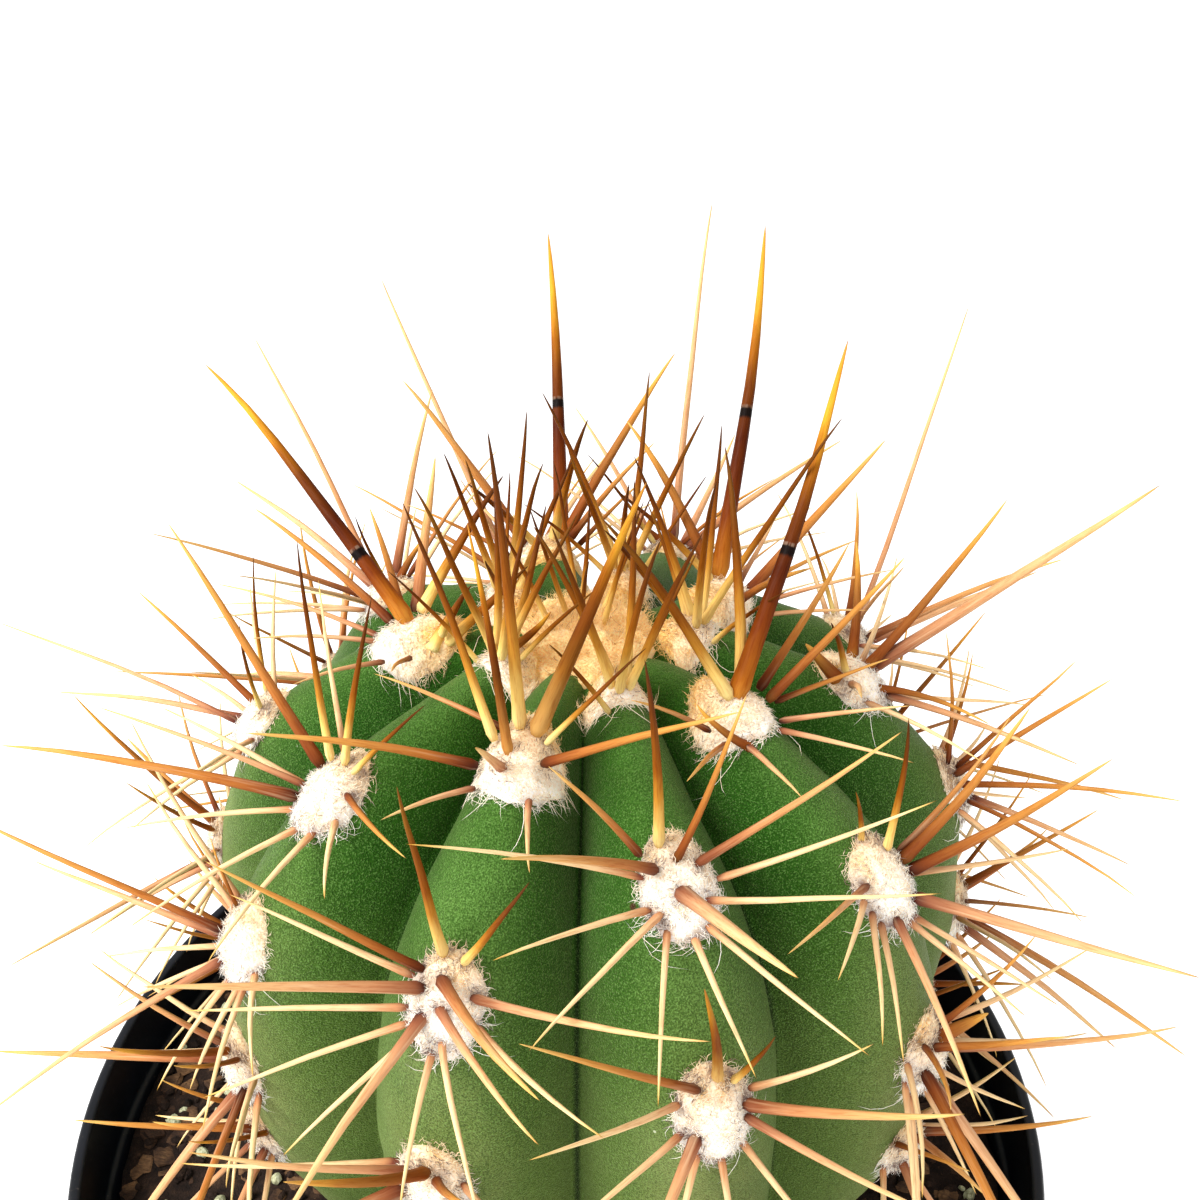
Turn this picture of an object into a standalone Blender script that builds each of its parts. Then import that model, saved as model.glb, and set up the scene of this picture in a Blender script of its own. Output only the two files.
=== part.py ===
"""Potted torch cactus: a ribbed globe of a stem, armed with spine clusters, in a round nursery pot.

Units are metres, +Z up.  The origin is the centre of the pot's flat base.
Sizes below are written in millimetres times MM.
"""
import bisect
import math
import random

import bmesh
import bpy
from mathutils import Matrix, Vector

MM = 0.001
GAP = 0.3 * MM                  # clearance kept between pieces that touch

# ---------------------------------------------------------------- pot
POT_HEIGHT = 165 * MM
RIM_RADIUS = 82.5 * MM
BASE_RADIUS = 62 * MM
BAND_HEIGHT = 14 * MM           # stepped band below the rim
BAND_STEP = 1.8 * MM            # how far the band stands out from the wall
BAND_DRAFT = 0.6 * MM           # the band is this much narrower at its foot
WALL = 1.5 * MM
FLOOR = 2 * MM
RIM_BEAD = 1.0 * MM             # radius of the rolled edge
BASE_CORNER = 2.5 * MM
CORNER_STEPS = 3
BEAD_STEPS = 6
POT_SIDES = 48
DRAIN_SLOTS = 8
DRAIN_SLOT_SIZE = (14 * MM, 3.4 * MM)
DRAIN_SLOT_RING = 44 * MM       # distance of a slot's middle from the axis

# ---------------------------------------------------------------- soil
SOIL_EDGE_DEPTH = 15 * MM       # below the rim, at the wall
SOIL_CENTRE_DEPTH = 10.5 * MM   # below the rim, around the stem
SOIL_LUMP = 0.5 * MM
SOIL_CORNER_EASE = 0.4 * MM     # extra room in the pot's bottom corner
MOUND_STEPS = (0.15, 0.4, 0.7, 1.0)         # rings of the slope up to the stem
MOUND_WIDTH = 0.5               # the slope takes this share of the radius
SEAT_GAP = 1.6 * GAP            # room around the stem's buried foot

# ---------------------------------------------------------------- stem
STEM_CENTRE = Vector((5.4 * MM, 0, 0))      # the plant stands a little off the pot's middle
RIBS = 10
RIB_TURN = 15.5                 # degrees from the front (-Y) to the first rib's crest
STEM_RADIUS = 56 * MM
STEM_WAIST = POT_HEIGHT + 48 * MM           # height of the widest part
STEM_RISE = 47 * MM             # from the waist up to the crown
STEM_DROP = 68 * MM             # from the waist down to the foot, inside the soil
ROUNDNESS = 2.3                 # exponent of the stem's outline: 2 is an ellipse
CROWN_DIP = 4 * MM
CROWN_DIP_WIDTH = 12 * MM
GROOVE_DEPTH = 12 * MM
GROOVE_START = 36 * MM          # along a rib from the crown to the groove's full depth
GROOVE_FADE = (70 * MM, 140 * MM)           # shallower over this stretch
GROOVE_LOSS = 0.55              # share of the depth lost over it
GROOVE_END = 165 * MM           # the foot below this is round
GROOVE_SHARPNESS = 2.2
POINTS_PER_RIB = 6
STEM_RINGS = 19
CREST_STEPS = 600               # fineness of the outline's table
POLE = 0.001                    # polar angles within this of 0 or pi are a pole

# ---------------------------------------------------------------- areoles
PAD_THICKNESS = 3.6 * MM
YOUNG_PAD = (12.6 * MM, 9.6 * MM)           # width across the rib, height along it
OLD_PAD = (9.6 * MM, 12.0 * MM)
BUD_PAD = (9.0 * MM, 8.0 * MM)
CROWN_PAD_RADIUS = 9.5 * MM
CROWN_PAD_RISE = 3.4 * MM
BUD_REACH = 20                  # areoles nearer the crown than this are buds, in mm
YOUNG_REACH = 32                # and nearer than this are young

# Each rib: its turn away from even spacing in degrees, then how far along the rib
# from the crown each areole sits, in millimetres.
RIB_AREOLES = {
    "a": (0, (16, 42, 67, 90, 109)),
    "b": (-2, (26, 52, 78, 97)),
    "c": (0, (15, 38, 62, 87, 108)),
    "d": (-7, (23, 50, 78, 101)),
    "e": (1, (15, 43, 69, 92, 111)),
    "f": (-1, (28, 56, 82, 103)),
    "g": (2, (15, 41, 68, 91, 110)),
    "h": (1, (25, 52, 77, 100)),
    "i": (3, (14, 41, 63, 84, 99)),
    "j": (2, (28, 55, 79, 101)),
}

# ---------------------------------------------------------------- spines
# Base width of each kind of spine.
BASE_WIDTH = {"stout": 2.1 * MM, "central": 1.6 * MM, "awl": 1.2 * MM, "radial": 0.85 * MM}
WAIST_POINT = 0.5               # share of the length where the taper turns
WAIST_WIDTH = 0.6               # width there, as a share of the base width
SPINE_BOW = 0.03                # bow at the waist point, as a share of the length
BOW_LEAN = 0.4                  # sideways part of the bow
RING_REACH = 0.6                # from a three-sided ring's centre to its corners, in widths
SPINE_CLEARANCE = 0.35 * MM
STEM_CLEARANCE = 1.2 * MM
STEM_TESTS = (0.45, 0.7, 1.0)   # points along a spine that are tested against the stem
ROOT_SHARE = 0.35               # spines of one pad may crowd this close to their roots
NEIGHBOUR_ROOM = 0.62           # room between spines of two pads, in widths
SISTER_ROOM = 0.2               # room between spines of one pad
FAR_APART = 3 * MM              # spines whose spheres are this far apart need no test
PLACING_TRIES = 60
TRY_TURN = 2.5                  # degrees turned further each second try
TRY_LIFT = 2.0                  # degrees lifted each sixth try
TRY_SHORTER = 0.012             # share shortened each second try
LEAST_LEAN = 6

# A spine is (kind, clock, lean, length).  Clock is its bearing on the pad, in degrees:
# 0 towards the crown, 90 to the right as seen from outside.  Lean is its angle from
# the pad's outward direction.  Length is in millimetres.
CHOSEN_SPINES = {
    "a2": (
        ("central", 350, 42, 26), ("awl", 25, 45, 20), ("awl", 312, 60, 18),
        ("central", 280, 44, 28), ("radial", 284, 66, 29), ("radial", 262, 66, 21),
        ("radial", 240, 66, 22), ("radial", 203, 66, 20), ("radial", 176, 66, 17),
        ("radial", 150, 62, 22), ("stout", 171, 24, 27), ("radial", 105, 66, 24),
        ("awl", 68, 60, 26), ("radial", 84, 68, 26),
    ),
    "a3": (
        ("central", 348, 62, 20), ("radial", 18, 62, 11), ("awl", 312, 68, 29),
        ("central", 80, 56, 23), ("radial", 62, 70, 15), ("awl", 115, 58, 23),
        ("radial", 290, 64, 22), ("central", 240, 50, 19), ("radial", 212, 66, 20),
        ("radial", 180, 66, 19), ("radial", 146, 66, 21), ("radial", 264, 66, 20),
    ),
    "b1": (
        ("stout", 57, 45, 46), ("central", 27, 44, 30), ("central", 340, 52, 28),
        ("awl", 97, 46, 24), ("radial", 142, 65, 16), ("radial", 165, 70, 17),
        ("awl", 78, 62, 24), ("radial", 300, 64, 14), ("radial", 215, 68, 13),
        ("radial", 260, 68, 16), ("radial", 118, 70, 16),
    ),
    "b2": (
        ("central", 18, 58, 18), ("stout", 64, 55, 24), ("stout", 93, 58, 30),
        ("stout", 148, 50, 33), ("awl", 290, 70, 26), ("central", 218, 64, 23),
        ("radial", 245, 70, 18), ("radial", 232, 72, 17), ("radial", 175, 62, 17),
        ("radial", 158, 70, 22), ("radial", 116, 66, 23), ("radial", 350, 66, 8),
        ("radial", 268, 70, 16), ("awl", 77, 72, 25),
    ),
    "c2": (
        ("stout", 150, 30, 46), ("central", 113, 30, 30), ("central", 70, 55, 17),
        ("awl", 195, 70, 27), ("awl", 280, 70, 18), ("radial", 240, 68, 19),
        ("radial", 98, 64, 22), ("radial", 128, 66, 24), ("radial", 172, 68, 22),
        ("awl", 330, 55, 12),
    ),
    "c3": (
        ("central", 311, 36, 30), ("central", 289, 44, 33), ("awl", 270, 58, 29),
        ("awl", 350, 76, 24), ("awl", 331, 48, 28), ("central", 190, 46, 26),
        ("radial", 27, 60, 15), ("radial", 75, 64, 20), ("radial", 114, 68, 20),
        ("radial", 146, 62, 20), ("radial", 206, 68, 19), ("radial", 243, 64, 22),
    ),
    "d1": (
        ("stout", 107, 30, 53), ("central", 60, 50, 26), ("central", 170, 42, 30),
        ("awl", 20, 56, 20), ("radial", 140, 64, 18), ("radial", 200, 66, 20),
        ("radial", 240, 66, 16), ("awl", 290, 52, 20), ("radial", 90, 66, 18),
    ),
    "h1": (
        ("stout", 239, 45, 50), ("central", 295, 45, 22), ("central", 322, 58, 22),
        ("radial", 202, 70, 28), ("radial", 170, 68, 17), ("awl", 255, 60, 20),
        ("awl", 215, 50, 26), ("awl", 25, 58, 14), ("radial", 130, 68, 14),
        ("radial", 80, 68, 14),
    ),
    "h2": (
        ("central", 250, 36, 27), ("awl", 218, 37, 46), ("central", 203, 46, 34),
        ("radial", 164, 70, 28), ("radial", 270, 64, 24), ("radial", 232, 66, 24),
        ("awl", 335, 52, 20), ("radial", 300, 64, 20), ("radial", 130, 68, 18),
        ("radial", 90, 68, 16), ("awl", 20, 58, 18),
    ),
    "i2": (
        ("central", 328, 50, 27), ("central", 352, 56, 21), ("stout", 291, 51, 36),
        ("radial", 312, 68, 23), ("awl", 242, 44, 26), ("stout", 232, 56, 37),
        ("radial", 254, 66, 23), ("radial", 214, 64, 21), ("radial", 180, 66, 22),
        ("radial", 148, 68, 20), ("radial", 112, 72, 14), ("awl", 84, 70, 22),
        ("awl", 30, 68, 15),
    ),
    "i3": (
        ("awl", 330, 66, 9), ("radial", 312, 66, 27), ("stout", 278, 46, 36),
        ("stout", 258, 62, 32), ("radial", 296, 72, 21), ("stout", 198, 52, 35),
        ("radial", 165, 70, 14), ("radial", 100, 72, 15), ("radial", 232, 70, 23),
        ("radial", 140, 70, 17), ("radial", 182, 72, 18), ("radial", 216, 68, 20),
    ),
    "j1": (
        ("awl", 320, 42, 30), ("awl", 338, 30, 27), ("central", 352, 28, 38),
        ("stout", 24, 44, 34), ("radial", 42, 62, 17), ("awl", 76, 60, 27),
        ("awl", 246, 60, 26), ("radial", 200, 62, 14), ("radial", 152, 66, 14),
        ("awl", 180, 20, 9), ("radial", 285, 66, 15),
    ),
    "j2": (
        ("central", 350, 56, 25), ("awl", 33, 58, 20), ("awl", 302, 54, 27),
        ("radial", 288, 68, 22), ("central", 274, 44, 29), ("radial", 260, 70, 24),
        ("radial", 240, 66, 23), ("central", 196, 42, 25), ("radial", 215, 68, 18),
        ("radial", 172, 66, 16), ("radial", 146, 66, 20), ("awl", 104, 45, 21),
        ("central", 79, 38, 27), ("awl", 78, 68, 30), ("radial", 94, 54, 24),
    ),
}

# Long spines behind the crown, each in place of the first one of its areole's pattern.
LONG_SPINES = {
    "d2": ("central", 10, 30, 50),
    "e2": ("stout", 2, 20, 54),
    "f1": ("stout", 208, 20, 50),
    "f2": ("stout", 35, 30, 55),
    "g2": ("central", 226, 15, 46),
}

# Patterns for the other areoles, by age.  The numbers are as above; each spine is
# then varied a little.
BUD_SPINES = (
    ("awl", 20, 24, 22), ("awl", 100, 22, 24), ("awl", 175, 26, 30), ("awl", 255, 22, 26),
    ("awl", 325, 30, 20), ("radial", 60, 44, 16), ("radial", 215, 46, 18),
)
YOUNG_SPINES = (
    ("stout", 180, 26, 46), ("central", 90, 36, 32), ("central", 270, 36, 32),
    ("central", 350, 44, 24), ("awl", 40, 50, 22), ("awl", 310, 50, 22),
    ("radial", 120, 62, 18), ("radial", 160, 66, 17), ("radial", 205, 66, 17),
    ("radial", 240, 62, 18),
)
GROWN_SPINES = (
    ("central", 350, 50, 25), ("central", 95, 46, 30), ("stout", 270, 44, 34),
    ("stout", 185, 38, 34), ("awl", 30, 60, 20), ("awl", 310, 62, 24),
    ("radial", 70, 66, 25), ("radial", 112, 66, 24), ("radial", 142, 66, 22),
    ("radial", 170, 68, 20), ("radial", 208, 68, 21), ("radial", 240, 66, 24),
    ("radial", 288, 68, 24),
)
FOOT_SPINES = (
    ("central", 0, 52, 18), ("central", 85, 44, 24), ("central", 275, 44, 25),
    ("awl", 180, 30, 22), ("radial", 40, 64, 18), ("radial", 320, 64, 19),
    ("radial", 110, 60, 20), ("radial", 250, 60, 20),
)
CROWN_SPINES = (
    ("radial", 10, 20, 15), ("radial", 65, 24, 18), ("radial", 120, 16, 21),
    ("radial", 170, 26, 16), ("radial", 225, 18, 20), ("radial", 280, 24, 17),
    ("radial", 330, 14, 22),
)
VARY = (7, 5, 0.12)             # most that a pattern spine's clock, lean and length share vary
SEED = 11
LOWEST_SPINE = POT_HEIGHT + 1.5 * MM        # spines stay above the pot's rim


def remove_old_objects():
    for old in list(bpy.data.objects):
        bpy.data.objects.remove(old, do_unlink=True)


def material(name, colour, roughness, metallic=0.0):
    made = bpy.data.materials.new(name)
    made.use_nodes = True
    shader = made.node_tree.nodes["Principled BSDF"]
    shader.inputs["Base Color"].default_value = (*colour, 1)
    shader.inputs["Roughness"].default_value = roughness
    shader.inputs["Metallic"].default_value = metallic
    return made


def add_object(name, bm, finish=None, sharp_degrees=None):
    """Turn a bmesh into a named object with its own material."""
    mesh = bpy.data.meshes.new(name)
    bm.normal_update()
    bm.to_mesh(mesh)
    bm.free()
    made = bpy.data.objects.new(name, mesh)
    bpy.context.scene.collection.objects.link(made)
    if finish is not None:
        mesh.materials.append(finish)
    if sharp_degrees is not None:
        mesh.shade_smooth()
        mesh.set_sharp_from_angle(angle=math.radians(sharp_degrees))
    return made


def arc(centre, radius, start, end, steps):
    """Points (r, z) along a circular arc, angles in degrees."""
    points = []
    for step in range(steps + 1):
        angle = math.radians(start + (end - start) * step / steps)
        points.append((centre[0] + radius * math.cos(angle), centre[1] + radius * math.sin(angle)))
    return points


def turned(profile, sides):
    """Spin a profile of (r, z) points, whose ends lie on the axis, into a closed solid."""
    bm = bmesh.new()
    verts = [bm.verts.new((r, 0, z)) for r, z in profile]
    edges = [bm.edges.new(pair) for pair in zip(verts, verts[1:])]
    bmesh.ops.spin(bm, geom=verts + edges, axis=(0, 0, 1), cent=(0, 0, 0),
                   angle=math.tau, steps=sides, use_merge=True)
    bmesh.ops.remove_doubles(bm, verts=bm.verts, dist=0.01 * MM)
    bmesh.ops.recalc_face_normals(bm, faces=bm.faces)
    return bm


# ================================================================ pot and soil
def wall_radius(height):
    """Outer radius of the plain wall below the band."""
    shoulder = RIM_RADIUS - BAND_DRAFT - BAND_STEP
    share = height / (POT_HEIGHT - BAND_HEIGHT)
    return BASE_RADIUS + (shoulder - BASE_RADIUS) * share


def make_pot():
    band_foot = POT_HEIGHT - BAND_HEIGHT
    outside = [(0, 0)]
    outside += arc((BASE_RADIUS - BASE_CORNER, BASE_CORNER), BASE_CORNER, -90, 0, CORNER_STEPS)
    outside.append((wall_radius(band_foot), band_foot))
    outside.append((RIM_RADIUS - BAND_DRAFT, band_foot + BAND_STEP))
    bead = arc((RIM_RADIUS - RIM_BEAD, POT_HEIGHT - RIM_BEAD), RIM_BEAD, 0, 180, BEAD_STEPS)
    inside = [
        (RIM_RADIUS - BAND_DRAFT - WALL, band_foot + BAND_STEP + WALL / 2),
        (wall_radius(band_foot) - WALL, band_foot + WALL / 2),
        (BASE_RADIUS - WALL, FLOOR + BASE_CORNER),
        (BASE_RADIUS - WALL - BASE_CORNER, FLOOR),
        (0, FLOOR),
    ]
    pot = add_object("pot", turned(outside + bead + inside, POT_SIDES),
                     material("black_pot_plastic", (0.012, 0.013, 0.016), 0.38), 35)
    slots = bmesh.new()
    for index in range(DRAIN_SLOTS):
        turn = Matrix.Rotation(math.tau * (index + 0.5) / DRAIN_SLOTS, 4, "Z")
        place = turn @ Matrix.Translation((DRAIN_SLOT_RING, 0, FLOOR / 2))
        size = Matrix.Diagonal((*DRAIN_SLOT_SIZE, FLOOR * 3, 1))
        bmesh.ops.create_cube(slots, size=1, matrix=place @ size)
    cut_with(pot, add_object("drain_slot_cutter", slots))
    return pot


def cut_with(target, cutter):
    """Subtract a cutter that stays in the scene as a wire guide."""
    cutter.hide_render = True
    cutter.display_type = "WIRE"
    cut = target.modifiers.new("cut", "BOOLEAN")
    cut.operation = "DIFFERENCE"
    cut.solver = "EXACT"
    cut.object = cutter


def make_soil():
    edge = POT_HEIGHT - SOIL_EDGE_DEPTH
    middle = POT_HEIGHT - SOIL_CENTRE_DEPTH
    inset = WALL + GAP
    profile = [
        (0, FLOOR + GAP),
        (BASE_RADIUS - inset - BASE_CORNER, FLOOR + GAP),
        (BASE_RADIUS - inset - SOIL_CORNER_EASE, FLOOR + BASE_CORNER + GAP),
        (wall_radius(edge) - inset, edge),
    ]
    for share in MOUND_STEPS:
        radius = (wall_radius(edge) - inset) * (1 - MOUND_WIDTH * share)
        profile.append((radius, edge + (middle - edge) * math.sin(share * math.pi / 2)))
    profile.append((0, middle))
    bm = turned(profile, POT_SIDES)
    chance = random.Random(SEED)
    for vert in bm.verts:
        if vert.co.z > edge + GAP:
            vert.co.z += chance.uniform(-SOIL_LUMP, SOIL_LUMP)
    soil = add_object("soil", bm, material("potting_mix", (0.07, 0.042, 0.028), 0.95))
    cut_with(soil, add_object("stem_seat_cutter", ribbed_stem(SEAT_GAP)))
    return soil


# ================================================================ stem
def crest_table():
    """Arc length, radius and height along a rib's crest, from the crown to the foot."""
    rows = []
    for step in range(CREST_STEPS + 1):
        angle = math.pi / 2 - math.pi * step / CREST_STEPS
        radius = STEM_RADIUS * abs(math.cos(angle)) ** (2 / ROUNDNESS)
        reach = STEM_RISE if angle >= 0 else -STEM_DROP
        height = STEM_WAIST + reach * abs(math.sin(angle)) ** (2 / ROUNDNESS)
        height -= CROWN_DIP * math.exp(-(radius / CROWN_DIP_WIDTH) ** 2) * (angle > 0)
        along = 0.0
        if rows:
            along = rows[-1][0] + math.hypot(radius - rows[-1][1], height - rows[-1][2])
        rows.append((along, radius, height))
    return rows


CREST = crest_table()
CREST_ARCS = [row[0] for row in CREST]
CREST_LENGTH = CREST[-1][0]


def crest_point(along):
    """Radius and height on the crest, and the outward direction there."""
    index = min(max(bisect.bisect_left(CREST_ARCS, along), 2), len(CREST) - 3)
    before = CREST[index - 1]
    after = CREST[index]
    share = min(max((along - before[0]) / (after[0] - before[0]), 0), 1)
    radius = before[1] + (after[1] - before[1]) * share
    height = before[2] + (after[2] - before[2]) * share
    across = CREST[index + 2][1] - CREST[index - 2][1]
    down = CREST[index + 2][2] - CREST[index - 2][2]
    size = math.hypot(across, down)
    return radius, height, (-down / size, across / size)


def smoothstep(value):
    value = min(max(value, 0), 1)
    return value * value * (3 - 2 * value)


def groove_depth(along):
    deepening = smoothstep(along / GROOVE_START)
    fading = smoothstep((along - GROOVE_FADE[0]) / (GROOVE_FADE[1] - GROOVE_FADE[0]))
    ending = 1 - smoothstep((along - GROOVE_FADE[1]) / (GROOVE_END - GROOVE_FADE[1]))
    return GROOVE_DEPTH * deepening * (1 - GROOVE_LOSS * fading) * ending


def rib_azimuth(turns):
    """Azimuth in degrees, this many ribs on from the first rib's crest."""
    shifts = [shift for shift, _ in RIB_AREOLES.values()]
    rib = math.floor(turns)
    before = shifts[rib % RIBS]
    after = shifts[(rib + 1) % RIBS]
    return RIB_TURN + turns * 360 / RIBS + before + (after - before) * (turns - rib)


def ribbed_stem(swell=0.0):
    """A globe of latitude rings, pushed in between the ribs."""
    bm = bmesh.new()
    bmesh.ops.create_uvsphere(bm, u_segments=RIBS * POINTS_PER_RIB,
                              v_segments=STEM_RINGS, radius=1)
    for vert in bm.verts:
        polar = math.acos(min(max(vert.co.z, -1), 1))
        turns = math.atan2(vert.co.y, vert.co.x) / math.tau * RIBS
        from_crest = abs((turns + 0.5) % 1 - 0.5) * 2
        along = CREST_LENGTH * polar / math.pi
        radius, height, outward = crest_point(along)
        if polar < POLE or polar > math.pi - POLE:
            radius = 0
            outward = (0, math.copysign(1, vert.co.z))
        push = groove_depth(along) * from_crest ** GROOVE_SHARPNESS - swell
        radius = max(radius - outward[0] * push, 0)
        height -= outward[1] * push
        azimuth = math.radians(rib_azimuth(turns))
        across = Vector((math.sin(azimuth), -math.cos(azimuth), 0))
        vert.co = STEM_CENTRE + across * radius + Vector((0, 0, height))
    bmesh.ops.recalc_face_normals(bm, faces=bm.faces)
    return bm


def make_stem():
    return add_object("stem", ribbed_stem(), material("cactus_skin", (0.08, 0.24, 0.06), 0.5), 60)


# ================================================================ areoles
def areole_frame(azimuth_degrees, along):
    """Matrix with X to the right, Y towards the crown and Z outward, on the rib's crest."""
    radius, height, outward = crest_point(along)
    azimuth = math.radians(azimuth_degrees)
    away = Vector((math.sin(azimuth), -math.cos(azimuth), 0))
    up = Vector((0, 0, 1))
    normal = (away * outward[0] + up * outward[1]).normalized()
    right = Vector((math.cos(azimuth), math.sin(azimuth), 0))
    crownward = normal.cross(right).normalized()
    centre = STEM_CENTRE + away * radius + up * height + normal * GAP
    frame = Matrix((right, crownward, normal)).transposed().to_4x4()
    frame.translation = centre
    return frame


def spine_direction(clock, lean):
    clock = math.radians(clock)
    lean = math.radians(lean)
    return Vector((math.sin(lean) * math.sin(clock), math.sin(lean) * math.cos(clock), math.cos(lean)))


def segment_distance(a0, a1, b0, b1):
    """Shortest distance between two straight segments."""
    u = a1 - a0
    v = b1 - b0
    w = a0 - b0
    a = u.dot(u)
    b = u.dot(v)
    c = v.dot(v)
    d = u.dot(w)
    e = v.dot(w)
    denominator = a * c - b * b
    s = 0.0
    if denominator > 1e-18:
        s = min(max((b * e - c * d) / denominator, 0), 1)
    t = min(max((b * s + e) / c, 0), 1)
    s = min(max((b * t - d) / a, 0), 1)
    return ((a0 + u * s) - (b0 + v * t)).length


def outside_stem(point, clearance):
    """True if a point is clear of the stem's crest outline."""
    offset = point - STEM_CENTRE
    reach = STEM_RISE if offset.z > STEM_WAIST else STEM_DROP
    radius = math.hypot(offset.x, offset.y) / (STEM_RADIUS + clearance)
    height = abs(offset.z - STEM_WAIST) / (reach + clearance)
    return radius ** ROUNDNESS + height ** ROUNDNESS > 1


class Thicket:
    """The spines and pads placed so far, which every new spine has to clear."""

    def __init__(self):
        self.spines = []
        self.pads = []

    def is_clear(self, owner, root, waist, tip, width):
        if tip.z < LOWEST_SPINE or waist.z < LOWEST_SPINE:
            return False
        for share in STEM_TESTS:
            if not outside_stem(root.lerp(tip, share), STEM_CLEARANCE):
                return False
        middle = (root + tip) / 2
        half = (tip - root).length / 2
        for other, centre, radius in self.pads:
            if other != owner and (centre - middle).length < half + radius + width:
                nearest = segment_distance(root, tip, centre, centre + Vector((0, 0, GAP)))
                if nearest < radius + width * RING_REACH + SPINE_CLEARANCE:
                    return False
        for other, points, other_width, other_middle, other_half in self.spines:
            if (other_middle - middle).length > half + other_half + FAR_APART:
                continue
            start = 0
            room = (width + other_width) * NEIGHBOUR_ROOM + SPINE_CLEARANCE
            if other == owner:
                start = ROOT_SHARE
                room = width * SISTER_ROOM + SPINE_CLEARANCE
            mine = ((root.lerp(waist, start), waist), (waist, tip))
            theirs = ((points[0].lerp(points[1], start), points[1]), points[1:])
            for first in mine:
                for second in theirs:
                    if segment_distance(*first, *second) < room:
                        return False
        return True

    def add(self, owner, root, waist, tip, width):
        middle = (root + tip) / 2
        self.spines.append((owner, (root, waist, tip), width, middle, (tip - root).length / 2))


def pad_shape(width, height, thickness):
    """A low dome of small three-sided faces with a flat underside."""
    bm = bmesh.new()
    bmesh.ops.create_icosphere(bm, subdivisions=2, radius=1)
    bmesh.ops.bisect_plane(bm, geom=bm.verts[:] + bm.edges[:] + bm.faces[:], dist=1e-6,
                           plane_co=(0, 0, 0), plane_no=(0, 0, 1), clear_inner=True)
    bmesh.ops.remove_doubles(bm, verts=bm.verts, dist=0.02)
    rim = [edge for edge in bm.edges if edge.is_boundary]
    bmesh.ops.contextual_create(bm, geom=rim)
    bmesh.ops.scale(bm, vec=(width / 2, height / 2, thickness), verts=bm.verts)
    bmesh.ops.recalc_face_normals(bm, faces=bm.faces)
    return bm


def free_face_towards(bm, direction, size, used):
    """The unused three-sided pad face that looks most nearly along a direction."""
    best = None
    best_score = -2
    for face in bm.faces:
        if len(face.verts) != 3 or face.index in used or face.normal.z < 0.05:
            continue
        centre = face.calc_center_median()
        bearing = Vector((centre.x / size[0], centre.y / size[1], centre.z / size[2])).normalized()
        score = bearing.dot(direction)
        if score > best_score:
            best = face
            best_score = score
    return best


def grow_spine(bm, face, root, waist, tip, width):
    """Draw a three-sided spine out of one face of the pad: collar, waist and point."""
    axis = (tip - root).normalized()
    corners = [vert.co - root for vert in face.verts]
    across = [corner - axis * corner.dot(axis) for corner in corners]
    rings = ((root, corners, width), (waist, across, width * WAIST_WIDTH))
    current = face
    for centre, spokes, ring_width in rings:
        grown = bmesh.ops.extrude_discrete_faces(bm, faces=[current])
        current = grown["faces"][0]
        for vert, spoke in zip(current.verts, spokes):
            vert.co = centre + spoke.normalized() * ring_width * RING_REACH
    grown = bmesh.ops.extrude_discrete_faces(bm, faces=[current])
    bmesh.ops.pointmerge(bm, verts=grown["faces"][0].verts, merge_co=tip)


def plan_spine(thicket, owner, frame, root, kind, clock, lean, length):
    """Find a bearing near the wanted one at which the spine clears everything."""
    width = BASE_WIDTH[kind]
    world_root = frame @ root
    outward = Vector((0, 0, 1))
    for attempt in range(PLACING_TRIES):
        step = (attempt + 1) // 2
        side = attempt % 2 * 2 - 1
        turn = side * step * TRY_TURN
        lift = step // 3 * TRY_LIFT
        direction = spine_direction(clock + turn, max(lean - lift, LEAST_LEAN))
        tip = root + direction * length * MM * (1 - TRY_SHORTER * step)
        sideways = direction.cross(outward).normalized()
        bow = (sideways * BOW_LEAN + outward) * SPINE_BOW * length * MM
        waist = root.lerp(tip, WAIST_POINT) + bow
        if thicket.is_clear(owner, world_root, frame @ waist, frame @ tip, width):
            thicket.add(owner, world_root, frame @ waist, frame @ tip, width)
            return waist, tip
    return None


def make_cluster(thicket, name, frame, size, spines, finish):
    """One areole: its wool pad and the spines that stand in it, as one solid."""
    bm = pad_shape(*size)
    bm.faces.index_update()
    half = (size[0] / 2, size[1] / 2, size[2])
    used = set()
    chosen = []
    for kind, clock, lean, length in spines:
        face = free_face_towards(bm, spine_direction(clock, lean), half, used)
        root = face.calc_center_median()
        used.add(face.index)
        planned = plan_spine(thicket, name, frame, root, kind, clock, lean, length)
        if planned is None:
            print("no room for a spine on", name, kind, clock, lean, length)
            continue
        chosen.append((face, root, *planned, BASE_WIDTH[kind]))
    for face, root, waist, tip, width in chosen:
        grow_spine(bm, face, root, waist, tip, width)
    bmesh.ops.transform(bm, matrix=frame, verts=bm.verts)
    return add_object(name, bm, finish)


def varied(pattern, chance):
    """A pattern with each spine turned, leaned and lengthened a little."""
    spines = []
    for kind, clock, lean, length in pattern:
        clock += chance.uniform(-VARY[0], VARY[0])
        lean += chance.uniform(-VARY[1], VARY[1])
        length *= 1 + chance.uniform(-VARY[2], VARY[2])
        spines.append((kind, clock, lean, length))
    return spines


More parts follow.
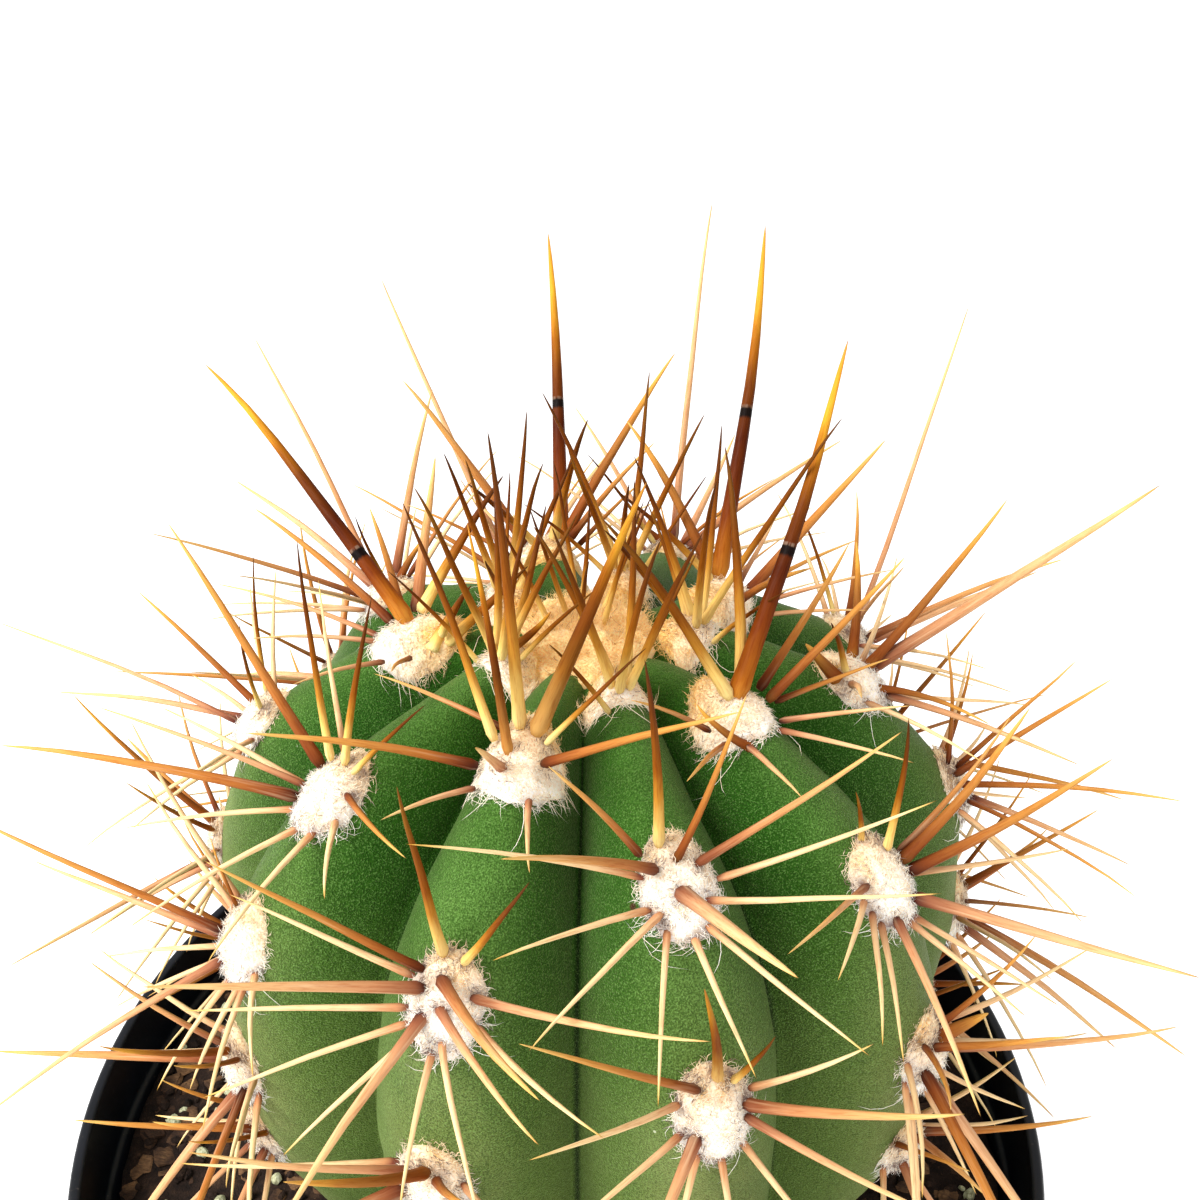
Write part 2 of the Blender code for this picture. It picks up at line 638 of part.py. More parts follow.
def areole_plan():
    """Name, frame, pad size and spines of every areole on the ribs."""
    chance = random.Random(SEED)
    plan = []
    for rib, (letter, (_, arcs)) in enumerate(RIB_AREOLES.items()):
        azimuth = rib_azimuth(rib)
        for order, along in enumerate(arcs, start=1):
            name = f"{letter}{order}"
            size = OLD_PAD
            pattern = GROWN_SPINES
            if along < BUD_REACH:
                size = BUD_PAD
                pattern = BUD_SPINES
            elif along < YOUNG_REACH:
                size = YOUNG_PAD
                pattern = YOUNG_SPINES
            elif order == len(arcs):
                size = BUD_PAD
                pattern = FOOT_SPINES
            spines = varied(pattern, chance)
            if name in LONG_SPINES:
                spines[0] = LONG_SPINES[name]
            spines = CHOSEN_SPINES.get(name, spines)
            plan.append((name, areole_frame(azimuth, along * MM), (*size, PAD_THICKNESS), spines))
    return plan


def make_areoles():
    finish = material("spines_and_wool", (0.62, 0.36, 0.18), 0.6)
    thicket = Thicket()
    plan = areole_plan()
    crown_frame = Matrix.Translation(STEM_CENTRE + Vector((0, 0, crown_floor() + GAP)))
    for name, frame, size, _ in plan:
        thicket.pads.append((f"areole_{name}", frame @ Vector((0, 0, size[2] / 2)), size[0] / 2))
    plan.sort(key=lambda entry: entry[0] not in CHOSEN_SPINES and entry[0] not in LONG_SPINES)
    for name, frame, size, spines in plan:
        make_cluster(thicket, f"areole_{name}", frame, size, spines, finish)
    crown_size = (CROWN_PAD_RADIUS * 2, CROWN_PAD_RADIUS * 2, CROWN_PAD_RISE)
    make_cluster(thicket, "crown_wool", crown_frame, crown_size, CROWN_SPINES, finish)


def crown_floor():
    """Height at which a flat-bottomed crown pad clears the dip's shoulders."""
    upper_half = CREST[:CREST_STEPS // 2]
    return max(height for _, radius, height in upper_half if radius < CROWN_PAD_RADIUS)


def main():
    remove_old_objects()
    make_pot()
    make_soil()
    make_stem()
    make_areoles()


main()
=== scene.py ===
# %% [markdown]
# # A torch cactus in a nursery pot
# A young torch cactus is a ribbed green globe.  Along each rib it carries areoles: small pads
# of white wool with a star of long stiff spines in each.  This one stands in a black plastic
# nursery pot.  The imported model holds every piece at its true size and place, so this lesson
# starts by loading it, and then gives each piece its real surface.

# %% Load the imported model
import math
from collections import namedtuple
from types import SimpleNamespace

import bmesh
import bpy
import numpy as np
from mathutils import Matrix, Vector, noise


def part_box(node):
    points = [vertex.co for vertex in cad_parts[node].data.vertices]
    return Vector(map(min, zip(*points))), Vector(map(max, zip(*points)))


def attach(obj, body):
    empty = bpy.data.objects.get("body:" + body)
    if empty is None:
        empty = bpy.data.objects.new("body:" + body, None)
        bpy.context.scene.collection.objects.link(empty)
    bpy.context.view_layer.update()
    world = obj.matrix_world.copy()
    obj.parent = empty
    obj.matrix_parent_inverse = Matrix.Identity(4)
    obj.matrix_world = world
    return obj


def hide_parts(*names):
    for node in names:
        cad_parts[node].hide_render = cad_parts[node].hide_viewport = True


MM = 0.001
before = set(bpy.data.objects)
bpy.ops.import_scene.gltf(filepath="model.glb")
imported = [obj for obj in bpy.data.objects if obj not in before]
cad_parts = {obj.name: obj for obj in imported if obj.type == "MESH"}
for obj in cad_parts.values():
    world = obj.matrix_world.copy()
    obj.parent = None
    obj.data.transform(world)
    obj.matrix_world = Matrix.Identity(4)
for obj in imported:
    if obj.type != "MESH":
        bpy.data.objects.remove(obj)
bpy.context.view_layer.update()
print("nodes in the frame:", len(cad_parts))

# %% [markdown]
# ## Camera, floor and light
# The plant is seen from close by and a little above, as one looks at a pot on a table, so a
# short lens tilted down does it.  The studio is a white floor under a bright white sky with
# two large soft lamps: near shadowless light, in which pale spines and wool stay readable.

# %% Put things into the scene, the camera first
def mesh_from(bm, name):
    """Turn a bmesh into a mesh and free it."""
    mesh = bpy.data.meshes.new(name)
    bm.to_mesh(mesh)
    bm.free()
    return mesh


def place_object(name, data):
    """Put a new object into the scene, at the origin."""
    made = bpy.data.objects.new(name, data)
    bpy.context.scene.collection.objects.link(made)
    return made


CAMERA_PLACE = (7.1 * MM, -134 * MM, 345.5 * MM)
CAMERA_PITCH = 31.4             # degrees below the horizon
camera_data = bpy.data.cameras.new("camera")
camera_data.sensor_width = 36
camera_data.lens = 35
camera_data.clip_start = 10 * MM
camera = place_object("camera", camera_data)
camera.location = CAMERA_PLACE
camera.rotation_euler = (math.radians(90 - CAMERA_PITCH), 0, 0)
bpy.context.scene.camera = camera
bpy.context.scene.view_settings.view_transform = "Standard"
print("camera at", tuple(camera.location))


# %% Helpers for nodes and materials
def add_node(tree, kind, inputs=None, **settings):
    """Add a node; inputs may be numbers, colours or another node's output."""
    node = tree.nodes.new(kind)
    for name, value in settings.items():
        setattr(node, name, value)
    for name, value in (inputs or {}).items():
        if isinstance(value, bpy.types.NodeSocket):
            tree.links.new(value, node.inputs[name])
        else:
            node.inputs[name].default_value = value
    return node


def new_material(name, **values):
    """A material with its tree and its Principled shader, whose plain values are set here."""
    made = bpy.data.materials.new(name)
    made.use_nodes = True
    shader = made.node_tree.nodes["Principled BSDF"]
    for socket, value in values.items():
        shader.inputs[socket.replace("_", " ")].default_value = value
    return made, made.node_tree, shader


print("material helpers ready")


# %% Helpers for colours and masks
def srgb(red, green, blue):
    """A colour as a screen shows it, from 0 to 255, turned into the linear light of a shader."""
    parts = [part / 255 for part in (red, green, blue)]
    linear = [p / 12.92 if p <= 0.04045 else ((p + 0.055) / 1.055) ** 2.4 for p in parts]
    return (*linear, 1)


def ramp(tree, factor, stops):
    """A colour ramp through (place, colour) stops."""
    node = add_node(tree, "ShaderNodeValToRGB", {"Fac": factor})
    elements = node.color_ramp.elements
    while len(elements) < len(stops):
        elements.new(0.5)
    for element, (place, colour) in zip(elements, stops):
        element.position = place
        element.color = colour
    return node.outputs["Color"]


def paint(tree, factor, stops):
    """A colour ramp through (place, red, green, blue) stops, in screen colours."""
    return ramp(tree, factor, [(place, srgb(*colour)) for place, *colour in stops])


def gauge(tree, factor, start, first, end, last):
    """A plain value that goes from first, where factor is start, to last, where it is end."""
    return ramp(tree, factor, ((start, (first, first, first, 1)), (end, (last, last, last, 1))))


def mask(tree, value, low, high):
    """0 below low, 1 above high and smooth between; low may be the larger of the two."""
    node = add_node(tree, "ShaderNodeMapRange", {"Value": value, "From Min": low, "From Max": high},
                    interpolation_type="SMOOTHSTEP")
    return node.outputs["Result"]


def mix(tree, factor, first, second, blend="MIX"):
    """Mix two colours."""
    node = add_node(tree, "ShaderNodeMix", {0: factor, 6: first, 7: second},
                    data_type="RGBA", blend_type=blend)
    return node.outputs[2]


def calc(tree, operation, first, second=0.5):
    """One step of arithmetic on values."""
    return add_node(tree, "ShaderNodeMath", {0: first, 1: second}, operation=operation).outputs[0]


def both(tree, first, second):
    """Where two masks both hold."""
    return calc(tree, "MULTIPLY", first, second)


def tint(tree, colour, where, share, new, blend="MIX"):
    """Mix a new colour in, up to this share, where a mask says so."""
    return mix(tree, calc(tree, "MULTIPLY", where, share), colour, new, blend)


print("colour helpers ready")


# %% Helpers for patterns on a surface
def attribute(tree, name, output="Fac"):
    """A value that the mesh carries at its vertices."""
    return add_node(tree, "ShaderNodeAttribute", attribute_name=name).outputs[output]


def coordinates(tree):
    """Object coordinates, in metres."""
    return add_node(tree, "ShaderNodeTexCoord").outputs["Object"]


def stretched(tree, vector, scale):
    """Coordinates squeezed along each axis, so that what reads them is drawn out."""
    return add_node(tree, "ShaderNodeMapping", {"Vector": vector, "Scale": scale}).outputs[0]


def grain(tree, vector, size, detail=2.0, roughness=0.5):
    """Cloudy noise whose clouds are about this size."""
    node = add_node(tree, "ShaderNodeTexNoise", {"Vector": vector, "Scale": 1 / size,
                                                 "Detail": detail, "Roughness": roughness})
    return node.outputs["Fac"]


def cells(tree, vector, size, output="Distance"):
    """Scattered cells about this size: the distance from each one's middle, or its colour."""
    node = add_node(tree, "ShaderNodeTexVoronoi", {"Vector": vector, "Scale": 1 / size})
    return node.outputs[output]


def dress(tree, shader, colour, relief, depth, strength, rough):
    """Give a shader its colour and, from one relief, its raised detail and its roughness.

    The detail is this deep in metres, and rough is (start, first, end, last) as in gauge.
    """
    raised = add_node(tree, "ShaderNodeBump", {"Height": relief, "Distance": depth,
                                               "Strength": strength})
    sockets = {"Base Color": colour, "Normal": raised.outputs["Normal"],
               "Roughness": gauge(tree, relief, *rough)}
    for name, output in sockets.items():
        tree.links.new(output, shader.inputs[name])


print("pattern helpers ready")

# %% Lay the floor
FLOOR_SIZE = 30.0
floor_finish, floor_tree, floor_shader = new_material("white_floor", Roughness=0.8,
                                                      Emission_Color=(1, 1, 1, 1),
                                                      Emission_Strength=0.55)
floor_cloud = grain(floor_tree, coordinates(floor_tree), 0.4)
floor_white = ramp(floor_tree, floor_cloud, ((0.3, (0.93, 0.93, 0.935, 1)),
                                             (0.7, (0.95, 0.95, 0.95, 1))))
floor_tree.links.new(floor_white, floor_shader.inputs["Base Color"])
floor_builder = bmesh.new()
bmesh.ops.create_grid(floor_builder, x_segments=2, y_segments=2, size=FLOOR_SIZE / 2)
floor_mesh = mesh_from(floor_builder, "studio_floor")
floor_mesh.materials.append(floor_finish)
place_object("studio_floor", floor_mesh)
print("floor: %g m wide" % FLOOR_SIZE)

# %% Light the studio
SKY_STRENGTH = 0.64
BACKDROP_STRENGTH = 1.1         # the sky as the camera sees it
studio_sky = bpy.data.worlds.new("studio_sky")
studio_sky.use_nodes = True
tree = studio_sky.node_tree
background = tree.nodes["Background"]
background.inputs["Color"].default_value = (1, 1, 1, 1)
seen_directly = add_node(tree, "ShaderNodeLightPath").outputs["Is Camera Ray"]
sky_glow = calc(tree, "MULTIPLY", seen_directly, BACKDROP_STRENGTH - SKY_STRENGTH)
tree.links.new(calc(tree, "ADD", sky_glow, SKY_STRENGTH), background.inputs["Strength"])
bpy.context.scene.world = studio_sky

LAMPS = (
    # name, place in metres, size in metres, watts
    ("overhead_softbox", (-0.55, -0.25, 0.80), 0.5, 11.0),
    ("front_softbox", (0.35, -0.8, 0.75), 0.5, 2.0),
)
for lamp_name, lamp_place, lamp_size, lamp_power in LAMPS:
    lamp_data = bpy.data.lights.new(lamp_name, "AREA")
    lamp_data.size = lamp_size
    lamp_data.energy = lamp_power
    lamp = place_object(lamp_name, lamp_data)
    lamp.location = lamp_place
    aim = Vector((0, 0, 0.2)) - Vector(lamp_place)
    lamp.rotation_euler = aim.to_track_quat("-Z", "Y").to_euler()
print("lamps:", len(LAMPS))

# %% [markdown]
# ## The outline of the stem
# The body is a turned shape pushed in between its ribs.  Its outline is a rounded ellipse,
# written once as a table of arc length, radius and height along a rib's crest.  Everything
# that sits on the skin - wool, hairs, spines - is then placed by two numbers: the bearing
# around the plant and the distance along the rib from the crown.

# %% Tabulate a rib's crest
STEM_AXIS = np.array((5.4 * MM, 0, 0))
STEM_RADIUS = 56 * MM
STEM_WAIST = 213 * MM           # height of the widest place
STEM_RISE = 47 * MM             # from there up to the crown
STEM_DROP = 68 * MM             # and down to the foot, inside the soil
ROUNDNESS = 2.3                 # 2 is an ellipse; more is squarer
CROWN_DIP = 4 * MM
CROWN_DIP_WIDTH = 12 * MM
RIBS = 10

polar = np.linspace(math.pi / 2, -math.pi / 2, 1201)
crest_radius = STEM_RADIUS * np.abs(np.cos(polar)) ** (2 / ROUNDNESS)
reach = np.where(polar >= 0, STEM_RISE, -STEM_DROP)
crest_height = STEM_WAIST + reach * np.abs(np.sin(polar)) ** (2 / ROUNDNESS)
crest_height -= CROWN_DIP * np.exp(-(crest_radius / CROWN_DIP_WIDTH) ** 2) * (polar > 0)
steps = np.hypot(np.diff(crest_radius), np.diff(crest_height))
crest_arc = np.concatenate([[0], np.cumsum(steps)])
slope_across = np.gradient(crest_radius)
slope_down = np.gradient(crest_height)
slope_size = np.hypot(slope_across, slope_down)
outward_r = -slope_down / slope_size
outward_z = slope_across / slope_size


def on_crest(along, table):
    """A value from one of these tables, at a distance along the rib from the crown."""
    return np.interp(along, crest_arc, table)


print("rib length from crown to foot: %.1f mm" % (crest_arc[-1] / MM))

# %% [markdown]
# ## Read the areoles from the frame
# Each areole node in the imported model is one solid: a low dome with three-sided spines drawn
# out of it.  Welding a copy of its loose triangles shows how the points connect, and then a
# spine's tip is the point with three close partners far below it.  From every spine the lesson
# takes its root, its middle, its tip and its thickness, so the fine spines follow the solids.

# %% Measure every spine and pad
def welded(node):
    """A copy of a node's mesh with its loose triangles joined."""
    bm = bmesh.new()
    bm.from_mesh(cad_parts[node].data)
    bmesh.ops.remove_doubles(bm, verts=bm.verts, dist=0.005 * MM)
    bm.verts.ensure_lookup_table()
    return bm


def mean_point(verts):
    return sum((vert.co for vert in verts), Vector()) / len(verts)


def neighbours(vert):
    return {edge.other_vert(vert) for edge in vert.link_edges}


# A spine's points and width, where it stands on its pad, its tone and its dark band.
NO_BAND = -1
Spine = namedtuple("Spine", "root waist tip width across up tone band",
                   defaults=(0, 0, 0, NO_BAND))


def measure_areole(node):
    """The spines of one areole, and the points that are left for its pad."""
    bm = welded(node)
    spines = []
    taken = set()
    for vert in bm.verts:
        ring = neighbours(vert)
        if len(ring) != 3:
            continue
        waist = mean_point(ring)
        ring_size = max((other.co - waist).length for other in ring)
        if (vert.co - waist).length < 3 * ring_size:
            continue
        collar = set().union(*(neighbours(other) for other in ring)) - ring - {vert}
        root = mean_point(collar)
        width = 2 * sum((other.co - root).length for other in collar) / len(collar)
        spines.append(Spine(root, waist, vert.co.copy(), width))
        taken |= ring | collar | {vert}
    pad = np.array([vert.co for vert in bm.verts if vert not in taken])
    bm.free()
    return spines, pad


print("nodes with spines:", sum(node.startswith("areole_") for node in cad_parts))


# %% Bearings and distances on the stem
def bearing_of(point):
    """Bearing in degrees around the stem, from the front towards +X."""
    return math.degrees(math.atan2(point[0] - STEM_AXIS[0], -(point[1] - STEM_AXIS[1])))


def arc_of(point):
    """Distance along a rib's crest to the place nearest a point."""
    radius = math.hypot(point[0] - STEM_AXIS[0], point[1] - STEM_AXIS[1])
    nearest = np.argmin(np.hypot(crest_radius - radius, crest_height - point[2]))
    return crest_arc[nearest]


def crest_frame(bearing, along):
    """Right, crownward and outward directions on a rib's crest."""
    angle = math.radians(bearing)
    away = np.array((math.sin(angle), -math.cos(angle), 0))
    right = np.array((math.cos(angle), math.sin(angle), 0))
    normal = away * on_crest(along, outward_r)
    normal[2] = on_crest(along, outward_z)
    return right, np.cross(normal, right), normal


widest = arc_of((STEM_AXIS[0], STEM_AXIS[1] - STEM_RADIUS, STEM_WAIST))
print("from the crown to the widest place: %.1f mm" % (widest / MM))

# %% Place the areoles on their ribs
YOUNG_REACH = 32 * MM           # areoles nearer the crown than this are young
GOLD_ALONG = (18 * MM, 44 * MM)         # wool turns from golden to white along here
# The wool's width and height as shares of the solid pad's.  Young wool spreads sideways and
# sits further crownward, behind the spines.
YOUNG_WOOL = (1.08, 0.95)
GROWN_WOOL = (0.98, 1.02)
YOUNG_WOOL_SHIFT = 1.5 * MM
# Pads do not keep to one outline: these are narrower and run further up and down.
PAD_SPREADS = {"b1": (0.85, 1.2), "j1": (0.94, 1.35), "h1": (0.9, 1.5)}
areoles = {}
for node in sorted(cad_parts):
    if not node.startswith("areole_"):
        continue
    name = node.removeprefix("areole_")         # the rib's letter and a number from the crown
    spines, pad = measure_areole(node)
    middle = (pad.max(0) + pad.min(0)) / 2
    bearing = bearing_of(middle)
    along = arc_of(middle)
    right, crownward, normal = crest_frame(bearing, along)
    wide, tall = PAD_SPREADS.get(name, (1.0, 1.0))
    half_width = np.ptp(pad @ right) / 2 * wide
    half_height = np.ptp(pad @ crownward) / 2 * tall
    young = along < YOUNG_REACH
    wool = YOUNG_WOOL if young else GROWN_WOOL
    areoles[name] = SimpleNamespace(
        node=node, name=name, bearing=bearing, along=along, axes=(right, crownward, normal),
        spines=spines, young=young, youth=np.interp(along, GOLD_ALONG, (1, 0)),
        half_height=half_height, wool_width=half_width * wool[0],
        wool_height=half_height * wool[1], wool_shift=YOUNG_WOOL_SHIFT if young else 0)
ribs = {}
for areole in areoles.values():
    ribs.setdefault(areole.name[0], []).append(areole)
print("areoles:", len(areoles), " spines:", sum(len(a.spines) for a in areoles.values()))

# %% [markdown]
# ## The skin
# With the areoles known, the crest of each rib is the mean bearing of its areoles.  Between
# two crests the skin sinks into a sharp groove, and under each areole the rib swells a little,
# with a shallow dip between one areole and the next.  One function gives any point of the skin,
# for the stem's own mesh and for everything that lies on it.

# %% Find the crests
rib_bearings = []
for rib in ribs.values():
    sines = sum(math.sin(math.radians(areole.bearing)) for areole in rib)
    cosines = sum(math.cos(math.radians(areole.bearing)) for areole in rib)
    rib_bearings.append(math.degrees(math.atan2(sines, cosines)) % 360)
crests = np.array([b - 360 for b in rib_bearings] + rib_bearings + [b + 360 for b in rib_bearings])
print("rib bearings:", [round(b, 1) for b in rib_bearings])


# %% Describe the skin as one function
GROOVE_DEPTH = 12 * MM
GROOVE_START = 36 * MM              # along the rib, where a groove has its full depth
GROOVE_FADE = (70 * MM, 140 * MM)   # where it grows shallower, and the share it loses there
GROOVE_LOSS = 0.55
GROOVE_END = 165 * MM               # where it ends
GROOVE_SHARPNESS = 2.2
SWELLING = 1.1 * MM
SWELLING_REACH = 7.5 * MM


def fade(value, start, end):
    """A smooth step from 0 at start to 1 at end."""
    share = np.clip((value - start) / (end - start), 0, 1)
    return share * share * (3 - 2 * share)


def rib_phase(bearing):
    """Ribs counted around the stem: a whole number on each crest, a half in each groove."""
    bearing = np.mod(bearing, 360)
    return np.interp(bearing, crests, np.arange(len(crests), dtype=float))


def groove(bearing):
    """0 on a crest, 1 at the bottom of a groove."""
    phase = rib_phase(bearing)
    return np.abs(phase - np.round(phase)) * 2


def groove_depth(along):
    """A groove deepens below the crown, grows shallower down the flank and ends in the soil."""
    shallower = 1 - GROOVE_LOSS * fade(along, *GROOVE_FADE)
    ending = 1 - fade(along, GROOVE_FADE[1], GROOVE_END)
    return GROOVE_DEPTH * fade(along, 0, GROOVE_START) * shallower * ending


def swelling(bearing, along):
    """How far the rib swells out beneath its areoles."""
    total = np.zeros_like(along)
    radius = on_crest(along, crest_radius)
    for areole in areoles.values():
        turn = np.mod(bearing - areole.bearing + 180, 360) - 180
        sideways = np.radians(turn) * radius
        down = along - areole.along - 1 * MM
        total += np.exp(-(sideways ** 2 + down ** 2) / SWELLING_REACH ** 2)
    return SWELLING * total


def skin(bearing, along, lift=0.0):
    """Points on the skin, or lift above it."""
    bearing = np.asarray(bearing, float)
    along = np.asarray(along, float)
    sink = groove_depth(along) * groove(bearing) ** GROOVE_SHARPNESS
    push = sink - swelling(bearing, along) - lift
    radius = np.maximum(on_crest(along, crest_radius) - on_crest(along, outward_r) * push, 0)
    height = on_crest(along, crest_height) - on_crest(along, outward_z) * push
    angle = np.radians(bearing)
    return np.stack([STEM_AXIS[0] + radius * np.sin(angle),
                     STEM_AXIS[1] - radius * np.cos(angle), height], -1)


print("top of the crown: %.1f mm" % (skin(0, 0)[2] / MM))

# %% [markdown]
# ## Finishing a piece
# Every piece ends the same way: its mesh goes into an object at the origin, it is shaded
# smooth, it rides on the imported model's one body, and the imported nodes it stands for are
# hidden.

# %% A helper that turns a bmesh into a finished piece
def finish_mesh(name, mesh, finish, replaces=(), smooth=True):
    """Make a mesh a finished piece."""
    mesh.materials.append(finish)
    if smooth:
        mesh.shade_smooth()
    piece = place_object(name, mesh)
    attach(piece, "root")
    if replaces:
        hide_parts(*replaces)
    mesh.calc_loop_triangles()
    print("%-18s %7d triangles" % (name, len(mesh.loop_triangles)))


def finish_piece(name, bm, finish, replaces=(), smooth=True):
    """Make a bmesh a finished piece."""
    finish_mesh(name, mesh_from(bm, name), finish, replaces, smooth)


def store(mesh, name, values, kind="FLOAT"):
    """Keep one value or vector for each vertex, for the materials to read."""
    layer = mesh.attributes.new(name, kind, "POINT")
    flat = np.ascontiguousarray(values, dtype=np.float32).ravel()
    layer.data.foreach_set("vector" if kind == "FLOAT_VECTOR" else "value", flat)


# %% [markdown]
# ## The skin's finish
# Torch cactus skin is a soft bright green with a velvety bloom: a fine pale grain that shows
# against the light, deeper green down in the grooves, and a few brown and white specks of
# age.  The grooves' green is partly the skin's own and partly painted shade, with a painted
# dark shade line along the bottom of each groove; the grain carries painted highlights on its
# tops and painted shade in its hollows.  The grain is noise at a fifth of a millimetre, and the
# mesh tells the material where the grooves are.

# %% Green skin with a velvety grain
skin_finish, tree, shader = new_material("cactus_skin", Sheen_Weight=0.15, Sheen_Roughness=0.45,
                                         Sheen_Tint=(0.95, 1, 0.5, 1), Specular_IOR_Level=0.07)
place = coordinates(tree)
in_groove = attribute(tree, "groove")
down_rib = attribute(tree, "down_rib")
patches = grain(tree, place, 16 * MM, 3)
mottle = grain(tree, place, 5 * MM, 4)
leather = grain(tree, place, 0.2 * MM, 2, 0.4)
velvet = cells(tree, place, 0.4 * MM)

young_green = paint(tree, patches, ((0.3, 50, 94, 22), (0.7, 78, 118, 46)))
old_green = paint(tree, patches, ((0.3, 106, 122, 58), (0.7, 138, 148, 88)))
green = mix(tree, mask(tree, down_rib, 0.36, 0.8), young_green, old_green)
green = tint(tree, green, mask(tree, mottle, 0.42, 0.7), 0.35, srgb(58, 96, 30))
# the grooves' deeper green: partly the skin's own colour, partly painted shade
groove_green_and_shade = mix(tree, mask(tree, down_rib, 0.36, 0.8), srgb(26, 78, 0), srgb(76, 104, 34))
green = tint(tree, green, mask(tree, in_groove, 0.15, 0.7), 0.85, groove_green_and_shade)
# painted shade: a dark line along the very bottom of each groove
green = mix(tree, mask(tree, in_groove, 0.95, 1.0), green, srgb(16, 40, 4))
# darker in the grain's hollows: partly the grain's own tone, partly painted shade
green = tint(tree, green, mask(tree, leather, 0.53, 0.36), 0.5, srgb(14, 50, 0))
# painted highlights: pale specks on the tops of the grain, fading out towards the crown
painted_glints = both(tree, mask(tree, leather, 0.53, 0.68), mask(tree, down_rib, 0.0, 0.4))
green = tint(tree, green, painted_glints, 0.36, srgb(130, 172, 92))
bloom = both(tree, mask(tree, velvet, 0.2, 0.06), mask(tree, mottle, 0.35, 0.65))
green = tint(tree, green, bloom, 0.34, srgb(150, 172, 112))
age_spots = both(tree, mask(tree, cells(tree, place, 11 * MM), 0.07, 0.04),
                 mask(tree, patches, 0.5, 0.56))
green = mix(tree, age_spots, green, srgb(70, 42, 26))
chalk_spots = mask(tree, cells(tree, place, 8 * MM), 0.030, 0.015)
green = tint(tree, green, chalk_spots, 0.8, srgb(214, 220, 190))
dress(tree, shader, green, leather, 0.35 * MM, 1.0, (0.3, 0.6, 0.7, 0.45))
print("skin finish nodes:", len(tree.nodes))

# %% [markdown]
# ## The stem
# A sphere of latitude rings has its points already in the right order, so it is the natural
# start: each point's longitude becomes a bearing, and its latitude a distance along the rib.
# The skin function then gives the place.

# %% Read and move the points of a bmesh
def points_of(bm):
    """Where a bmesh's vertices are, one row each."""
    return np.array([vert.co for vert in bm.verts])


def move_points(bm, spots):
    """Put each vertex of a bmesh at its row's place."""
    for vert, spot in zip(bm.verts, spots):
        vert.co = spot


print("bmesh tools ready")

# %% Build the stem
STEM_STEPS_PER_RIB = 26
STEM_RINGS = 150
RIPPLE = 0.35 * MM              # slow unevenness of the skin
GREEN_REACH = 110 * MM          # the stretch of rib over which young skin turns old
bm = bmesh.new()
bmesh.ops.create_uvsphere(bm, u_segments=RIBS * STEM_STEPS_PER_RIB, v_segments=STEM_RINGS, radius=1)
unit = points_of(bm)
along = crest_arc[-1] * np.arccos(np.clip(unit[:, 2], -1, 1)) / math.pi
turns = np.arctan2(unit[:, 1], unit[:, 0]) / math.tau * RIBS
bearing = np.interp(turns + RIBS, np.arange(len(crests)), crests)
ripple = np.array([noise.noise(Vector(p) * 9) for p in unit]) * RIPPLE
places = skin(bearing, along, ripple)
at_pole = np.abs(unit[:, 2]) > 0.99999
places[at_pole, :2] = STEM_AXIS[:2]
move_points(bm, places)
bmesh.ops.recalc_face_normals(bm, faces=bm.faces)
stem_mesh = mesh_from(bm, "cactus_stem")
store(stem_mesh, "groove", groove(bearing) * fade(groove_depth(along), 0, 6 * MM))
store(stem_mesh, "down_rib", along / GREEN_REACH)
finish_mesh("cactus_stem", stem_mesh, skin_finish, ("stem",))

# %% [markdown]
# ## Strands
# Spines and wool hairs are both long cones.  One unit cone is cut into rings, and copies of
# it are bent: every ring is carried to a point on the strand's own path and given its own
# thickness.  Doubling a block of copies is much quicker than adding them one by one.

# %% Cut a cone into rings and copy it
def cone_strand(sides, heights):
    """A closed cone one unit high, cut into rings at these heights."""
    bm = bmesh.new()
    bmesh.ops.create_cone(bm, cap_ends=True, segments=sides, radius1=1, radius2=0, depth=1,
                          matrix=Matrix.Translation((0, 0, 0.5)))
    for height in heights[1:-1]:
        bmesh.ops.bisect_plane(bm, geom=bm.verts[:] + bm.edges[:] + bm.faces[:], dist=1e-6,
                               plane_co=(0, 0, height), plane_no=(0, 0, 1))
    bmesh.ops.recalc_face_normals(bm, faces=bm.faces)
    return bm


def copies(shape, count):
    """One bmesh that holds a shape count times over."""
    whole = bmesh.new()
    block = bpy.data.meshes.new("block")
    shape.to_mesh(block)
    while count:
        if count % 2:
            whole.from_mesh(block)
        count //= 2
        if count:
            double = bmesh.new()
            double.from_mesh(block)
            double.from_mesh(block)
            double.to_mesh(block)
            double.free()
    bpy.data.meshes.remove(block)
    return whole


print("cone tools ready")


# %% Bend the copies
def unit_vectors(vectors):
    return vectors / np.maximum(np.linalg.norm(vectors, axis=-1, keepdims=True), 1e-12)


